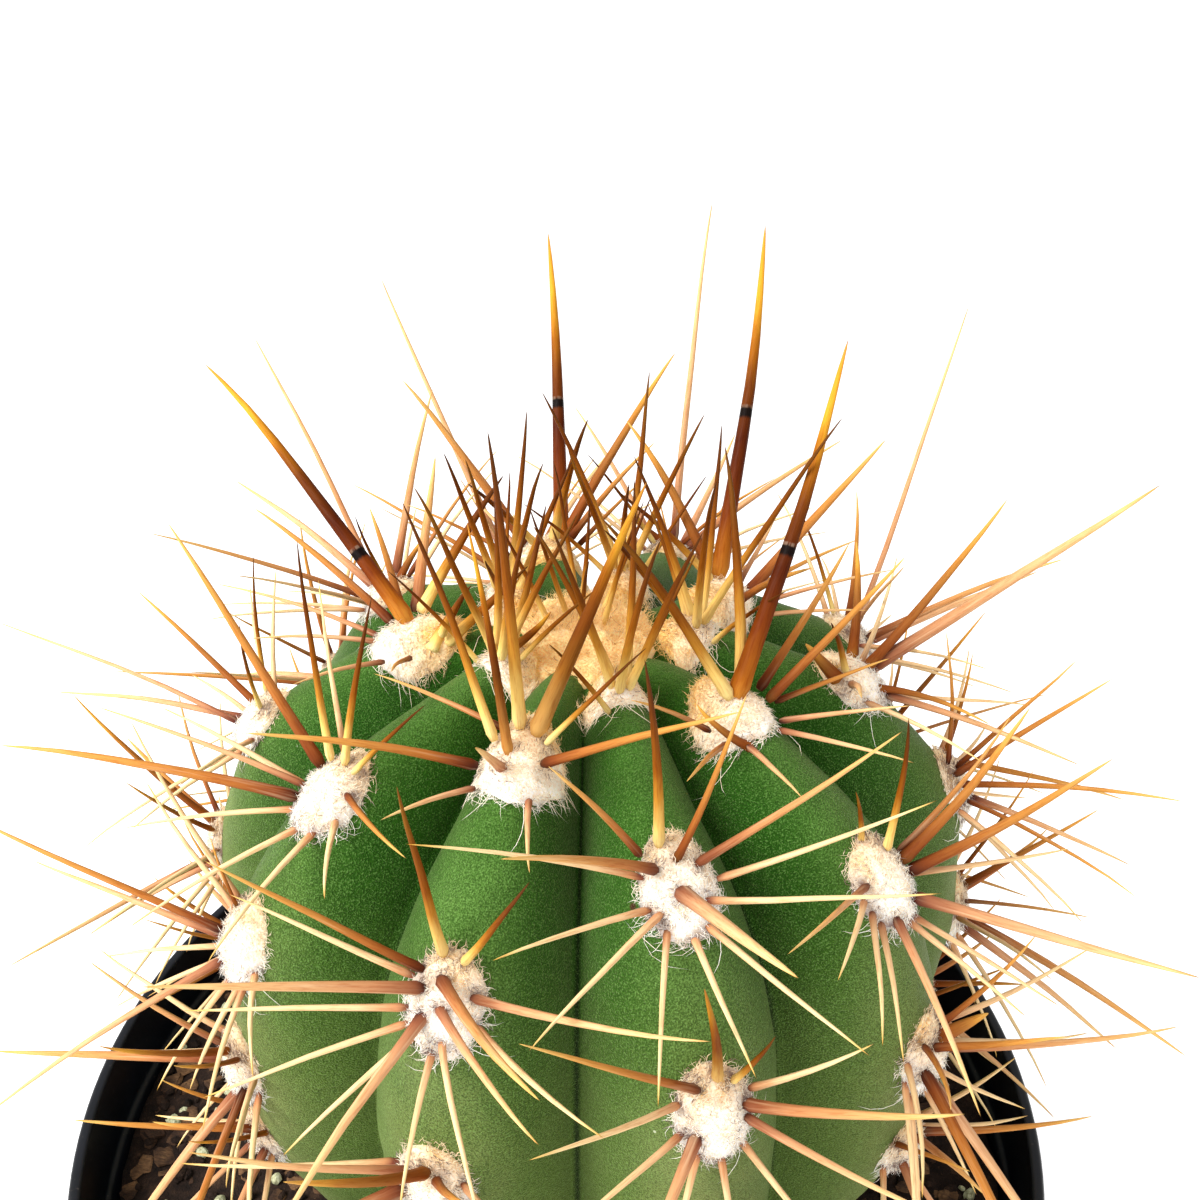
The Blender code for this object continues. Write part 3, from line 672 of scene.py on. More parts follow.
def bend_strands(sides, heights, paths, radii, flatness=1.0):
    """Carry copies of a cone onto paths; returns the mesh and each vertex's strand and height."""
    shape = cone_strand(sides, heights)
    unit = points_of(shape)
    ring = np.argmin(np.abs(unit[:, 2:3] - np.array(heights)), 1)
    angle = np.arctan2(unit[:, 1], unit[:, 0])
    added = copies(shape, len(paths))
    shape.free()
    tangent = unit_vectors(np.gradient(paths, axis=1))
    whole = paths[:, -1] - paths[:, 0]
    helper = np.where(np.abs(unit_vectors(whole)[:, 2:3]) < 0.8, (0, 0, 1), (1, 0, 0))
    side = np.cross(whole, helper)[:, None, :]
    side = unit_vectors(side - tangent * (tangent * side).sum(-1, keepdims=True))
    up = np.cross(tangent, side)
    radius = radii[:, ring, None]
    spots = (paths[:, ring] + side[:, ring] * np.cos(angle)[None, :, None] * radius
             + up[:, ring] * np.sin(angle)[None, :, None] * radius * flatness)
    mesh = mesh_from(added, "strands")
    mesh.vertices.foreach_set("co", spots.astype(np.float32).ravel())
    mesh.update()
    strand = np.repeat(np.arange(len(paths)), len(ring))
    return mesh, strand, np.tile(ring, len(paths)), np.tile(angle, len(paths))


print("bending tools ready")

# %% [markdown]
# ## The spines' finish
# Young spines at the crown are pale yellow at the root and run through amber to a dark brown
# point.  The stoutest ones go the other way, from orange through near black to a golden tip.
# Grown spines around the sides fade to salmon, and the thin ones that lie flat are cream.
# Each spine carries its place in that row of tones, and how far along it each point is; the
# material does the rest, with fine lengthwise fibres and pale flecks.

# %% Rows of colours from root to tip
AMBER = ((0.0, 246, 224, 150), (0.12, 238, 200, 110), (0.27, 188, 130, 44),
         (0.42, 142, 80, 14), (0.7, 98, 48, 6), (1.0, 78, 44, 12))
TORCH = ((0.0, 204, 138, 54), (0.06, 164, 92, 20), (0.15, 118, 52, 6),
         (0.34, 76, 26, 0), (0.5, 106, 52, 6), (0.62, 158, 92, 12),
         (0.76, 222, 160, 44), (0.9, 224, 154, 44), (1.0, 222, 150, 60))
RUSSET = ((0.0, 66, 28, 18), (0.08, 124, 62, 28), (0.25, 172, 104, 46),
          (0.7, 210, 148, 70), (1.0, 236, 192, 106))
SALMON = ((0.0, 84, 42, 36), (0.05, 150, 92, 64), (0.2, 208, 150, 106),
          (0.55, 232, 182, 128), (0.88, 240, 202, 134), (1.0, 206, 156, 76))
CREAM = ((0.0, 146, 84, 66), (0.05, 214, 154, 106), (0.2, 244, 206, 154),
         (0.8, 250, 222, 164), (0.93, 238, 198, 112), (1.0, 196, 144, 52))
print("colours along a torch spine:", len(TORCH))

# %% Spine material
spine_finish, tree, shader = new_material("spine_horn", Specular_IOR_Level=0.07)
length_share = attribute(tree, "length_share")
tone = attribute(tree, "tone")
fibre_place = attribute(tree, "fibre_place", "Vector")


def along_fibres(across, lengthways):
    """The spine's own coordinates, in mm, drawn out into fibres."""
    return stretched(tree, fibre_place, (across, across, lengthways))


wander = calc(tree, "SUBTRACT", grain(tree, along_fibres(0.6, 0.16), 1.0, 2), 0.5)
shifted = calc(tree, "ADD", length_share, calc(tree, "MULTIPLY", wander, 0.14))
colour = paint(tree, shifted, AMBER)
for step, stops in enumerate((TORCH, RUSSET, SALMON, CREAM)):
    reached = mask(tree, tone, step + 0.1, step + 0.9)
    colour = mix(tree, reached, colour, paint(tree, shifted, stops))
fibres = grain(tree, along_fibres(5.0, 0.4), 1.0, 3, 0.6)
streaks = grain(tree, along_fibres(2.4, 0.12), 1.0, 2)
colour = tint(tree, colour, mask(tree, fibres, 0.46, 0.7), 0.45, srgb(206, 150, 112), "MULTIPLY")
pale_streaks = both(tree, mask(tree, streaks, 0.5, 0.75), mask(tree, tone, 1.6, 2.6))
colour = tint(tree, colour, pale_streaks, 0.3, srgb(252, 220, 176))
above_band = calc(tree, "SUBTRACT", length_share, attribute(tree, "band"))
off_band = calc(tree, "ABSOLUTE", above_band)
ragged = calc(tree, "ADD", off_band, calc(tree, "MULTIPLY", fibres, 0.012))
colour = mix(tree, mask(tree, ragged, 0.026, 0.015), colour, srgb(16, 6, 3))
off_scar = calc(tree, "ABSOLUTE", calc(tree, "SUBTRACT", above_band, 0.016))
scar = both(tree, mask(tree, off_scar, 0.007, 0.002), mask(tree, streaks, 0.35, 0.6))
colour = tint(tree, colour, scar, 0.5, srgb(150, 128, 108))
dress(tree, shader, colour, fibres, 0.09 * MM, 0.7, (0.3, 0.42, 0.7, 0.62))
print("spine finish nodes:", len(tree.nodes))

# %% [markdown]
# ## Growing the spines
# A spine is not a straight cone.  It swells just above its root, tapers to a needle, bows a
# little and wavers.  Its path is the curve through the root, the middle and the tip of the
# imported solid, and thickness is set ring by ring.

# %% Widths and thicknesses
STOUT_RINGS = (0.0, 0.03, 0.07, 0.14, 0.24, 0.36, 0.5, 0.64, 0.78, 0.9, 0.97, 1.0)
THIN_RINGS = (0.0, 0.04, 0.12, 0.28, 0.46, 0.64, 0.82, 0.95, 1.0)
STOUT_WIDTH = 1.4 * MM          # solids wider than this at the root are central spines
THIN_WIDTH = 1.1 * MM           # narrower ones are the thin spines that lie flat
TAPER = 0.6                     # 1 is a straight cone; less stays stout for longer
BULB = 0.12                     # how much thicker a spine is just above its root
BULB_PLACE = 0.035              # where, and over what stretch, as shares of its length
BULB_STRETCH = 0.03
ROOT_PINCH = 0.3                # how much thinner it is at the very root
ROOT_SINK = 0.6 * MM            # how deep a spine starts inside the wool
WAVER = 0.0014                  # how far it wavers, as a share of its length


def taper(heights, width):
    """Thickness of a spine at its rings: a slight bulb, then a long even point."""
    share = np.array(heights)
    even = (1 - share) ** TAPER
    bulb = BULB * np.exp(-((share - BULB_PLACE) / BULB_STRETCH) ** 2)
    return width / 2 * even * (1 + bulb - ROOT_PINCH * (share == 0))


print("thickness of a 2 mm spine:", [round(2 * t, 1) for t in taper(STOUT_RINGS, 2)])

# %% [markdown]
# ## What colour each spine is
# Spines that point crownward stay amber longest, and the others fade as they age, so a
# spine's tone follows from its areole's place and its own bearing, with a little chance.  The
# ones that stand out on this plant are listed pad by pad.

# %% Spines with a tone of their own
# Single spines: bearing on the pad, tone, and the place of the dark band if there is one.
MARKED_SPINES = {
    "b1": ((57, 1.0, 0.38),), "h1": ((229, 1.0, 0.22),), "d1": ((107, 1.0, 0.43),),
    "f1": ((208, 1.0, 0.4),), "c2": ((150, 2.7), (114, 1.6), (70, 1.5)), "e2": ((2, 3.0),),
    "f2": ((35, 2.8),), "g2": ((226, 2.6),), "d2": ((10, 2.8), (99, 1.7)),
    "a2": ((350, 0.0), (25, 1.7)), "j2": ((350, 0.3), (33, 0.1)),
    "j1": ((24, 0.6), (338, 0.7), (285, 2.4), (81, 1.8), (181, 3.0)), "b2": ((64, 1.7),),
    "h2": ((250, 1.6),), "i2": ((290, 1.8), (232, 2.1)), "a3": ((348, 0.5), (18, 0.2)),
    "i3": ((278, 2.0),), "h3": ((264, 2.0),), "c3": ((339, 1.8),),
}
print("marked spines:", sum(len(marks) for marks in MARKED_SPINES.values()))

# %% The tone of any spine
CROWN_REACH = 20 * MM           # areoles nearer the crown than this have crown spines only
OLD_REACH = 55 * MM             # areoles further down than this are old
UPWARD_YOUNG = 50               # degrees from crownward that count as pointing up
UPWARD_GROWN = 38
STOUT_MATCH = 9                 # degrees within which a listed bearing means a stout spine
THIN_MATCH = 1.5                # or a thinner one
chance = np.random.default_rng(7)


def apart(first, second):
    """Degrees between two bearings."""
    return abs((first - second + 180) % 360 - 180)


def spine_bearing(areole, spine):
    """Bearing of a spine on its pad, in degrees clockwise from crownward."""
    right, crownward = areole.axes[:2]
    run = np.array((spine.tip - spine.root).normalized())
    return math.degrees(math.atan2(run @ right, run @ crownward)) % 360


def spine_tone(areole, spine, clock):
    """A spine's place between amber 0, torch 1, russet 2, salmon 3 and cream 4, and its band."""
    for bearing, tone, *band in MARKED_SPINES.get(areole.name, ()):
        if apart(clock, bearing) < (STOUT_MATCH if spine.width > STOUT_WIDTH else THIN_MATCH):
            return tone, band[0] if band else NO_BAND
    return plain_tone(areole, apart(clock, 0), spine.width < THIN_WIDTH), NO_BAND


def plain_tone(areole, from_up, thin):
    """The tone of a spine that has no mark, by its age and by how far it leans from crownward."""
    vary = chance.uniform(-0.25, 0.25)
    upward = UPWARD_YOUNG if areole.young else UPWARD_GROWN
    if areole.along < CROWN_REACH or from_up < upward:
        return 1.6 + vary if areole.along > OLD_REACH else max(0.1 + vary, 0)
    if areole.young:
        return (3.2 if thin and from_up > 120 else 2.05) + 2 * vary
    if thin:
        return 3.8 + vary
    return 2.35 + 2 * vary if from_up < 100 else 3.05 + vary


print("old areoles:", sum(areole.along > OLD_REACH for areole in areoles.values()))

# %% [markdown]
# ## Where the spines stand
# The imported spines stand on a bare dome.  Here each one is moved to the top of the wool, the
# thin ones a little outward, and the ones seen best to seats of their own on the pad.  The
# stout spines of grown pads are also drawn slimmer than their solids.

# %% Chosen seats
# Where chosen spines stand on their pads: the spine's bearing, mm across, mm crownward.
SEATED_SPINES = {
    "a2": ((171, -0.5, -1.0), (350, -1.5, 5.2), (280, -3.0, 2.2), (25, 0.0, 3.0), (68, 2.5, 2.0),
           (312, -4.0, 4.6), (150, 1.8, -4.5), (105, 2.2, -2.0), (240, -3.0, -2.5)),
    "j2": ((350, -1.0, 5.8), (33, 1.8, 5.4), (196, -1.5, -1.5), (274, -2.5, 1.5), (86, 0.0, 3.0),
           (104, 0.5, 0.0), (146, 1.0, -3.4), (128, 2.6, -1.4), (302, -3.3, 3.4)),
    "j1": ((25, 2.0, 4.4), (352, -0.4, 4.6), (338, -0.4, 0.6), (285, -2.4, 3.4)),
    "b1": ((57, 0.0, 1.6),), "f1": ((207, -3.0, -1.5),), "h1": ((229, -0.5, 0.5), (26, 3.4, 6.0)),
    "d1": ((108, 3.0, 0.5),),
}
print("seats:", sum(len(seats) for seats in SEATED_SPINES.values()))

# %% Stand a spine on the felt
SEAT_MATCH = 2                  # degrees within which a seat's bearing means a spine
SLIM_AREOLES = {"c2": 0.85, "i3": 0.45}         # widths as shares of the solids'
FELT_RISE = 2.0 * MM
THIN_SPREAD = 1.12              # thin spines stand this much further out
THIN_SINK = 0.3 * MM            # and this much lower in the felt


def felt_height(areole, across, crownward):
    """Height of the felt above the skin."""
    out = np.hypot(across / areole.wool_width,
                   (crownward - areole.wool_shift) / areole.wool_height)
    return FELT_RISE * np.maximum(1 - out ** 2, 0) ** 0.5


def slimness(areole, spine):
    """A spine's width as a share of its solid's: least on the ribs to the sides."""
    if spine.width < STOUT_WIDTH:
        return 0.92
    if areole.young:
        return 1.0
    side = np.interp(apart(areole.bearing, 0), (20, 60), (0.80, 0.62))
    return SLIM_AREOLES.get(areole.name, float(side))


def seat(areole, spine):
    """Stand a spine on the felt, at its chosen seat if it has one, and give it its tone."""
    right, crownward, normal = areole.axes
    middle = skin(areole.bearing, areole.along)
    offset = np.array(spine.root) - middle
    across, up = offset @ right, offset @ crownward
    clock = spine_bearing(areole, spine)
    tone, band = spine_tone(areole, spine, clock)
    for bearing, mm_across, mm_up in SEATED_SPINES.get(areole.name, ()):
        if apart(clock, bearing) < SEAT_MATCH:
            across, up = mm_across * MM, mm_up * MM
    thin = spine.width < THIN_WIDTH
    if thin:
        across, up = across * THIN_SPREAD, up * THIN_SPREAD
    lift = felt_height(areole, across, up) - thin * THIN_SINK
    root = Vector(middle + right * across + crownward * up + normal * lift)
    moved = root - spine.root
    return spine._replace(root=root, waist=spine.waist + moved / 2, across=across, up=up,
                          width=spine.width * slimness(areole, spine), tone=tone, band=band)


print("the felt rises %.1f mm above the skin" % (FELT_RISE / MM))

# %% [markdown]
# ## Dried and stunted spines
# On a few pads a spine or two has stayed short, or has dried and bent over.  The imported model
# leaves these out, so each is listed here with its place, direction and size.

# %% Short spines of their own
# Across and crownward in mm, bearing and lean in degrees, length, width and bow in mm, tone.
STUNTED_SPINES = {
    "h1": ((3.4, 6.0, 0, 59, 16, 2.0, 0.0, 0.2), (4.0, 3.6, 330, 55, 8.3, 2.0, -2.5, 0.1)),
    "b1": ((-2.4, -3.6, 330, 62, 9, 1.4, -1.6, 1.5),),
    "c2": ((-3.0, 3.4, 352, 70, 7.5, 2.4, 0.3, 1.5), (-1.5, -3.4, 205, 66, 15, 1.2, 3.6, 1.6)),
    "i1": ((0.5, 1.0, 40, 40, 8, 1.6, 1.0, 0.6),),
    "d1": ((2.0, -2.0, 120, 60, 9, 1.5, -1.5, 1.2),),
    "e2": ((1.5, 2.0, 60, 60, 7, 1.6, 1.5, 1.4),),
    "g2": ((-1.5, 2.5, 310, 60, 8, 1.5, 1.0, 1.5),),
    "b3": ((1.0, 3.0, 75, 60, 7, 2.2, 0.4, 1.6),),
}


def stunted(areole, across, up, clock, lean, length, width, bow, tone):
    """A short spine standing on the felt, given in pad coordinates and millimetres."""
    right, crownward, normal = areole.axes
    across, up = across * MM, up * MM
    radius = on_crest(areole.along, crest_radius)
    root = skin(areole.bearing + math.degrees(across / radius), areole.along - up,
                felt_height(areole, across, up))
    clock, lean = math.radians(clock), math.radians(lean)
    flat = right * math.sin(clock) + crownward * math.cos(clock)
    run = normal * math.cos(lean) + flat * math.sin(lean)
    tip = root + run * length * MM
    waist = (root + tip) / 2 + right * bow * MM * 0.5
    return Spine(Vector(root), Vector(waist), Vector(tip), width * MM, across, up, tone)


print("stunted spines:", sum(len(shapes) for shapes in STUNTED_SPINES.values()))


# %% Curves, and many spines as one piece
def spine_paths(spines, heights):
    """Curves through the root, middle and tip of each spine, with a slight waver."""
    share = np.array(heights)[None, :, None]
    points = np.array([(spine.root, spine.waist, spine.tip) for spine in spines])
    root, waist, tip = points.swapaxes(0, 1)[:, :, None]
    root = root - unit_vectors(waist - root) * ROOT_SINK
    pull = 2 * waist - (root + tip) / 2
    path = (1 - share) ** 2 * root + 2 * share * (1 - share) * pull + share ** 2 * tip
    length = np.linalg.norm(tip - root, axis=-1, keepdims=True)
    sway = chance.normal(0, 1, (len(spines), 2, 3))
    waver = np.sin(share * math.pi * 2) * sway[:, :1] + np.sin(share * math.pi * 3) * sway[:, 1:]
    return path + waver * length * WAVER, length[:, 0, 0]


def grow_spines(name, spines, replaces):
    """Many spines as one piece."""
    parts = []
    for stout in (True, False):
        chosen = [spine for spine in spines if (spine.width >= THIN_WIDTH) == stout]
        if not chosen:
            continue
        heights, sides = (STOUT_RINGS, 8) if stout else (THIN_RINGS, 6)
        paths, lengths = spine_paths(chosen, heights)
        radii = np.array([taper(heights, spine.width) for spine in chosen])
        mesh, strand, ring, angle = bend_strands(sides, heights, paths, radii, 0.88)
        share = np.array(heights)[ring]
        thickness = radii[:, 0][strand] / MM
        offset = chance.uniform(0, 90, (len(chosen), 3))[strand]
        store(mesh, "length_share", share)
        for field in ("tone", "band"):
            store(mesh, field, np.array([getattr(spine, field) for spine in chosen])[strand])
        inside = np.stack([np.cos(angle) * thickness, np.sin(angle) * thickness,
                           share * lengths[strand] / MM], -1)
        store(mesh, "fibre_place", offset + inside, "FLOAT_VECTOR")
        parts.append(mesh)
    whole = bmesh.new()
    for mesh in parts:
        whole.from_mesh(mesh)
        bpy.data.meshes.remove(mesh)
    finish_piece(name, whole, spine_finish, replaces)


print("spine tools ready")

# %% Grow the spines, rib by rib
for letter, rib in ribs.items():
    for areole in rib:
        areole.spines = [seat(areole, spine) for spine in areole.spines]
        areole.spines += [stunted(areole, *shape) for shape in STUNTED_SPINES.get(areole.name, ())]
    grow_spines("spines_rib_" + letter, [spine for areole in rib for spine in areole.spines],
                tuple(areole.node for areole in rib))

crown_spines, crown_pad = measure_areole("crown_wool")
grow_spines("spines_crown", [spine._replace(tone=0.1) for spine in crown_spines], ())

# %% [markdown]
# ## Wool
# An areole's wool is a felt of fine curly hairs: brilliant white where it is old, cream to
# gold where it is young, with a few brown ends showing around the spine roots.  A lumpy dome
# wrapped onto the rib is the felt; a thousand short hairs standing out of it, and longer
# wisps lying on the skin around it, break its edge up.  The felt is painted darker and more
# golden where its surface dips: painted shade.  Light wanders from hair to hair in real wool
# and comes out warm, so the wool is given a little glow of its own colour: painted light that
# lifts its shadows.

# %% Wool material
wool_finish, tree, shader = new_material("areole_wool", Sheen_Weight=0.4, Sheen_Roughness=0.5,
                                         Sheen_Tint=(1, 0.98, 0.94, 1), Specular_IOR_Level=0.1,
                                         Emission_Strength=0.25)
place = coordinates(tree)
tufts = grain(tree, place, 0.3 * MM, 3, 0.65)
clumps = grain(tree, place, 1.6 * MM, 2)
# both ramps run darker and warmer where the tufts' relief dips: painted shade between the tufts
white = paint(tree, tufts, ((0.3, 230, 200, 152), (0.42, 253, 243, 224), (0.6, 255, 254, 250)))
gold = paint(tree, tufts, ((0.25, 172, 106, 32), (0.46, 236, 182, 88), (0.72, 255, 228, 146)))
colour = mix(tree, attribute(tree, "gold"), white, gold)
colour = tint(tree, colour, mask(tree, clumps, 0.54, 0.72), 0.3, srgb(226, 184, 140))
colour = mix(tree, attribute(tree, "brown"), colour, srgb(88, 42, 36))
dress(tree, shader, colour, tufts, 0.2 * MM, 0.8, (0.2, 0.95, 0.8, 0.8))
# painted light: the wool glows with its own colour, which lifts its shadows
tree.links.new(colour, shader.inputs["Emission Color"])
print("wool finish nodes:", len(tree.nodes))

# %% Wool laid on the skin
STAIN_REACH = 1.05 * MM


def on_pad(areole, across, crownward, lift):
    """Pad coordinates, in metres from the pad's middle, laid onto the skin."""
    radius = on_crest(areole.along, crest_radius)
    bearing = areole.bearing + np.degrees(across / max(radius, 8 * MM))
    return skin(bearing, np.maximum(areole.along - crownward, 0.2 * MM), lift)


def stain_at(areole, across, crownward):
    """Brown staining around the spine roots, strongest on old pads."""
    roots = np.array([(spine.across, spine.up) for spine in areole.spines])
    gap = np.hypot(across[:, None] - roots[None, :, 0], crownward[:, None] - roots[None, :, 1])
    return (0.95 - 0.6 * areole.youth) * np.exp(-(gap.min(1) / STAIN_REACH) ** 2)


def gold_at(areole, up):
    """Wool is golden on young pads and on the crownward side, white elsewhere."""
    return np.clip(0.1 + 0.45 * areole.youth + 0.5 * up, 0, 1)


def ball(subdivisions):
    """A unit ball of even triangles."""
    bm = bmesh.new()
    bmesh.ops.create_icosphere(bm, subdivisions=subdivisions, radius=1)
    return bm


def felt_dome(areole):
    """A lumpy cushion of felt on the rib, closed underneath."""
    bm = ball(3)
    unit = points_of(bm)
    shift = Vector(chance.uniform(0, 50, 3))
    lumps = np.array([noise.fractal(Vector(p) * 3.4 + shift, 0.7, 2.1, 4) for p in unit])
    edge = 1 + 0.12 * lumps
    across = unit[:, 0] * areole.wool_width * edge
    crownward = unit[:, 1] * areole.wool_height * edge + areole.wool_shift
    bulge = unit[:, 2] * FELT_RISE + lumps * 0.3 * MM * np.minimum(unit[:, 2] * 3, 1)
    lift = np.where(unit[:, 2] > 0, bulge, unit[:, 2] * 0.5 * MM)
    move_points(bm, on_pad(areole, across, crownward, lift))
    # painted shade: the felt turns more golden in the dents between its lumps
    gold = np.clip(gold_at(areole, unit[:, 1]) + 0.7 * np.clip(-lumps, 0, 1), 0, 1)
    return mesh_from(bm, "felt"), gold, stain_at(areole, across, crownward)


print("wool of a grown pad: %.1f mm wide" % (2 * areoles["a2"].wool_width / MM))


# %% Curly hairs
def around(areole, angle, out):
    """Pad coordinates at these angles, this share of the way to the wool's edge."""
    return (np.cos(angle) * out * areole.wool_width,
            np.sin(angle) * out * areole.wool_height + areole.wool_shift)


def hairs(areole, start, heading, length, rise, rings, thickness, brown=0.0):
    """Curly mesh hairs that start at these pad coordinates, with their colours."""
    across, up, lift = start
    share = np.array(rings)[None, :]
    turn = heading[:, None] + chance.normal(0, 1.9, len(heading))[:, None] * share
    run = share * (length * np.sqrt(np.maximum(1 - rise ** 2, 0)))[:, None]
    across = across[:, None] + np.cos(turn) * run
    up = up[:, None] + np.sin(turn) * run
    lift = np.reshape(lift, (-1, 1)) + share * (length * rise)[:, None]
    thin = np.linspace(1, 0.75, len(rings))
    thin[-1] = 0
    thickness = thickness * chance.uniform(0.7, 1.25, len(heading))
    mesh, strand, ring, angle = bend_strands(3, rings, on_pad(areole, across, up, lift),
                                             thin[None, :] * thickness[:, None] / 2)
    gold = gold_at(areole, up[:, 0] / areole.half_height)
    return mesh, gold[strand], np.broadcast_to(brown, len(heading))[strand]


print("hair tools ready")

# %% Tufts, wisps and threads
TUFT_RINGS = (0.0, 0.5, 1.0)
WISP_RINGS = (0.0, 0.35, 0.7, 1.0)
THREAD_RINGS = (0.0, 0.2, 0.4, 0.6, 0.8, 1.0)
TUFTS_PER_PAD = 1200
WISPS_PER_PAD = 170
THREADS_PER_PAD = 4
TUFT_LENGTHS = (0.7, 1.6)       # shortest and longest, in mm
WISP_LENGTHS = (0.8, 2.2)
THREAD_LENGTHS = (3.5, 7)
HAIR_THICKNESS = 0.1 * MM
WISP_THICKNESS = 0.075 * MM


def tufts(areole):
    """Short hairs that roughen the felt, brown where it is stained."""
    angle = chance.uniform(0, math.tau, TUFTS_PER_PAD)
    out = chance.uniform(0, 1.15, TUFTS_PER_PAD) ** 0.42
    across, up = around(areole, angle, out)
    stain = stain_at(areole, across, up)
    brown = np.where(chance.uniform(0, 1, TUFTS_PER_PAD) < stain * 0.8, 0.85, 0.15 * stain)
    brown = np.maximum(brown, (chance.uniform(0, 1, TUFTS_PER_PAD) < 0.1) * 0.3)
    length = chance.uniform(*TUFT_LENGTHS, TUFTS_PER_PAD) * MM
    rise = np.clip(chance.uniform(0.15, 0.85, TUFTS_PER_PAD) - 0.3 * out ** 3, 0.05, 0.9)
    heading = angle + chance.normal(0, 1.6, TUFTS_PER_PAD)
    start = across, up, felt_height(areole, across, up) - 0.1 * MM
    return hairs(areole, start, heading, length, rise, TUFT_RINGS, HAIR_THICKNESS, brown)


def wisps(areole):
    """Longer hairs that lie on the skin around the felt, the longest of them below it."""
    angle = chance.uniform(0, math.tau, WISPS_PER_PAD)
    low = np.clip(0.5 - 0.8 * np.sin(angle), 0.1, 1)
    length = chance.uniform(*WISP_LENGTHS, WISPS_PER_PAD) * MM * (0.7 + 0.8 * low)
    heading = angle + chance.normal(0, 0.7, WISPS_PER_PAD)
    rise = chance.uniform(-0.12, 0.25, WISPS_PER_PAD)
    start = (*around(areole, angle, 0.92), 0.45 * MM)
    return hairs(areole, start, heading, length, rise, WISP_RINGS, WISP_THICKNESS)


def threads(areole):
    """A few long loose threads that hang below the pad."""
    angle = chance.uniform(-2.6, -0.5, THREADS_PER_PAD)
    length = chance.uniform(*THREAD_LENGTHS, THREADS_PER_PAD) * MM
    start = (*around(areole, angle, 0.9), 0.3 * MM)
    return hairs(areole, start, angle, length, 0.02, THREAD_RINGS, HAIR_THICKNESS)


print("hairs on a pad:", TUFTS_PER_PAD + WISPS_PER_PAD + THREADS_PER_PAD)


# %% Grow the wool, rib by rib
def gather(parts):
    """Join meshes with their gold and brown values into one bmesh."""
    whole = bmesh.new()
    for mesh, gold, brown in parts:
        store(mesh, "gold", gold)
        store(mesh, "brown", brown)
        whole.from_mesh(mesh)
        bpy.data.meshes.remove(mesh)
    return whole


for letter, rib in ribs.items():
    parts = [make(areole) for areole in rib for make in (felt_dome, tufts, wisps, threads)]
    finish_piece("wool_rib_" + letter, gather(parts), wool_finish)

# %% [markdown]
# ## The crown
# At the growing point the youngest areoles crowd into one golden cushion of wool in the dip
# of the crown.  It is made as a pad is, only wider and more golden, and it lies flat over the
# stem's axis.

# %% Crown wool
CROWN_HAIRS = ((3000, 0.0), (160, 0.6))         # how many, and how brown
CROWN_HAIR_LENGTHS = (1.0, 2.4)                 # shortest and longest, in mm
CROWN_GOLD = 0.85                               # how golden the felt is, from 0 to 1
HAIR_GOLD = 0.9                                 # and the hairs on it
crown_width, crown_depth = np.ptp(crown_pad[:, :2], axis=0) / 2
crown_foot = crown_pad[:, 2].min() - 2 * MM
crown_rise = crown_pad[:, 2].max() - crown_foot


def crown_spots(across, up, lift):
    """A dome over the stem's axis."""
    return np.stack([STEM_AXIS[0] + across, STEM_AXIS[1] + up, crown_foot + lift], -1)


bm = ball(5)
unit = points_of(bm)
lumps = np.array([noise.fractal(Vector(p) * 3.2, 0.8, 2.1, 4) for p in unit])
lift = np.maximum(unit[:, 2], 0) ** 0.8 * crown_rise * (1 + 0.3 * lumps)
edge = 1.05 + 0.12 * lumps
move_points(bm, crown_spots(unit[:, 0] * crown_width * edge, unit[:, 1] * crown_depth * edge,
                            lift))
parts = [(mesh_from(bm, "felt"), np.full(len(unit), CROWN_GOLD), np.zeros(len(unit)))]
for count, brown in CROWN_HAIRS:
    angle = chance.uniform(0, math.tau, count)
    out = np.sqrt(chance.uniform(0, 1, count))
    share = np.array(WISP_RINGS)[None, :]
    length = chance.uniform(*CROWN_HAIR_LENGTHS, count)[:, None] * MM
    turn = (angle + chance.normal(0, 1.6, count))[:, None]
    turn = turn + chance.normal(0, 2, count)[:, None] * share
    run = share * length * (0.3 + 0.7 * out)[:, None]
    across = (np.cos(angle) * out * crown_width)[:, None] + np.cos(turn) * run
    up = (np.sin(angle) * out * crown_depth)[:, None] + np.sin(turn) * run
    rise = np.sqrt(np.maximum(1 - out ** 2, 0))[:, None] * crown_rise * 0.95 + share * length
    paths = crown_spots(across, up, rise)
    thin = np.array((1.0, 0.9, 0.7, 0.0))[None, :] * chance.uniform(0.7, 1.2, count)[:, None]
    mesh, strand, ring, angle = bend_strands(3, WISP_RINGS, paths, thin * HAIR_THICKNESS / 2)
    parts.append((mesh, np.full(len(strand), HAIR_GOLD), np.full(len(strand), brown)))
finish_piece("wool_crown", gather(parts), wool_finish, ("crown_wool",))

# %% [markdown]
# ## The pot
# A nursery pot is thin moulded plastic: a tapered wall, a stepped band below a rolled rim, and
# a flat foot with slots for drainage.  Turning one outline around the axis makes all of it, and
# a Boolean cuts the slots.

# %% Black plastic
pot_finish, tree, shader = new_material("black_pot_plastic", Specular_IOR_Level=0.3,
                                        Coat_Weight=0.04, Coat_Roughness=0.25)
place = coordinates(tree)
haze = grain(tree, place, 9 * MM, 4, 0.6)
dust = grain(tree, place, 0.8 * MM, 3, 0.7)
colour = paint(tree, haze, ((0.3, 7, 9, 14), (0.7, 14, 17, 25)))
colour = tint(tree, colour, mask(tree, dust, 0.62, 0.75), 0.25, srgb(120, 108, 96))
dress(tree, shader, colour, haze, 0.08 * MM, 0.2, (0.3, 0.34, 0.7, 0.44))
print("plastic finish nodes:", len(tree.nodes))

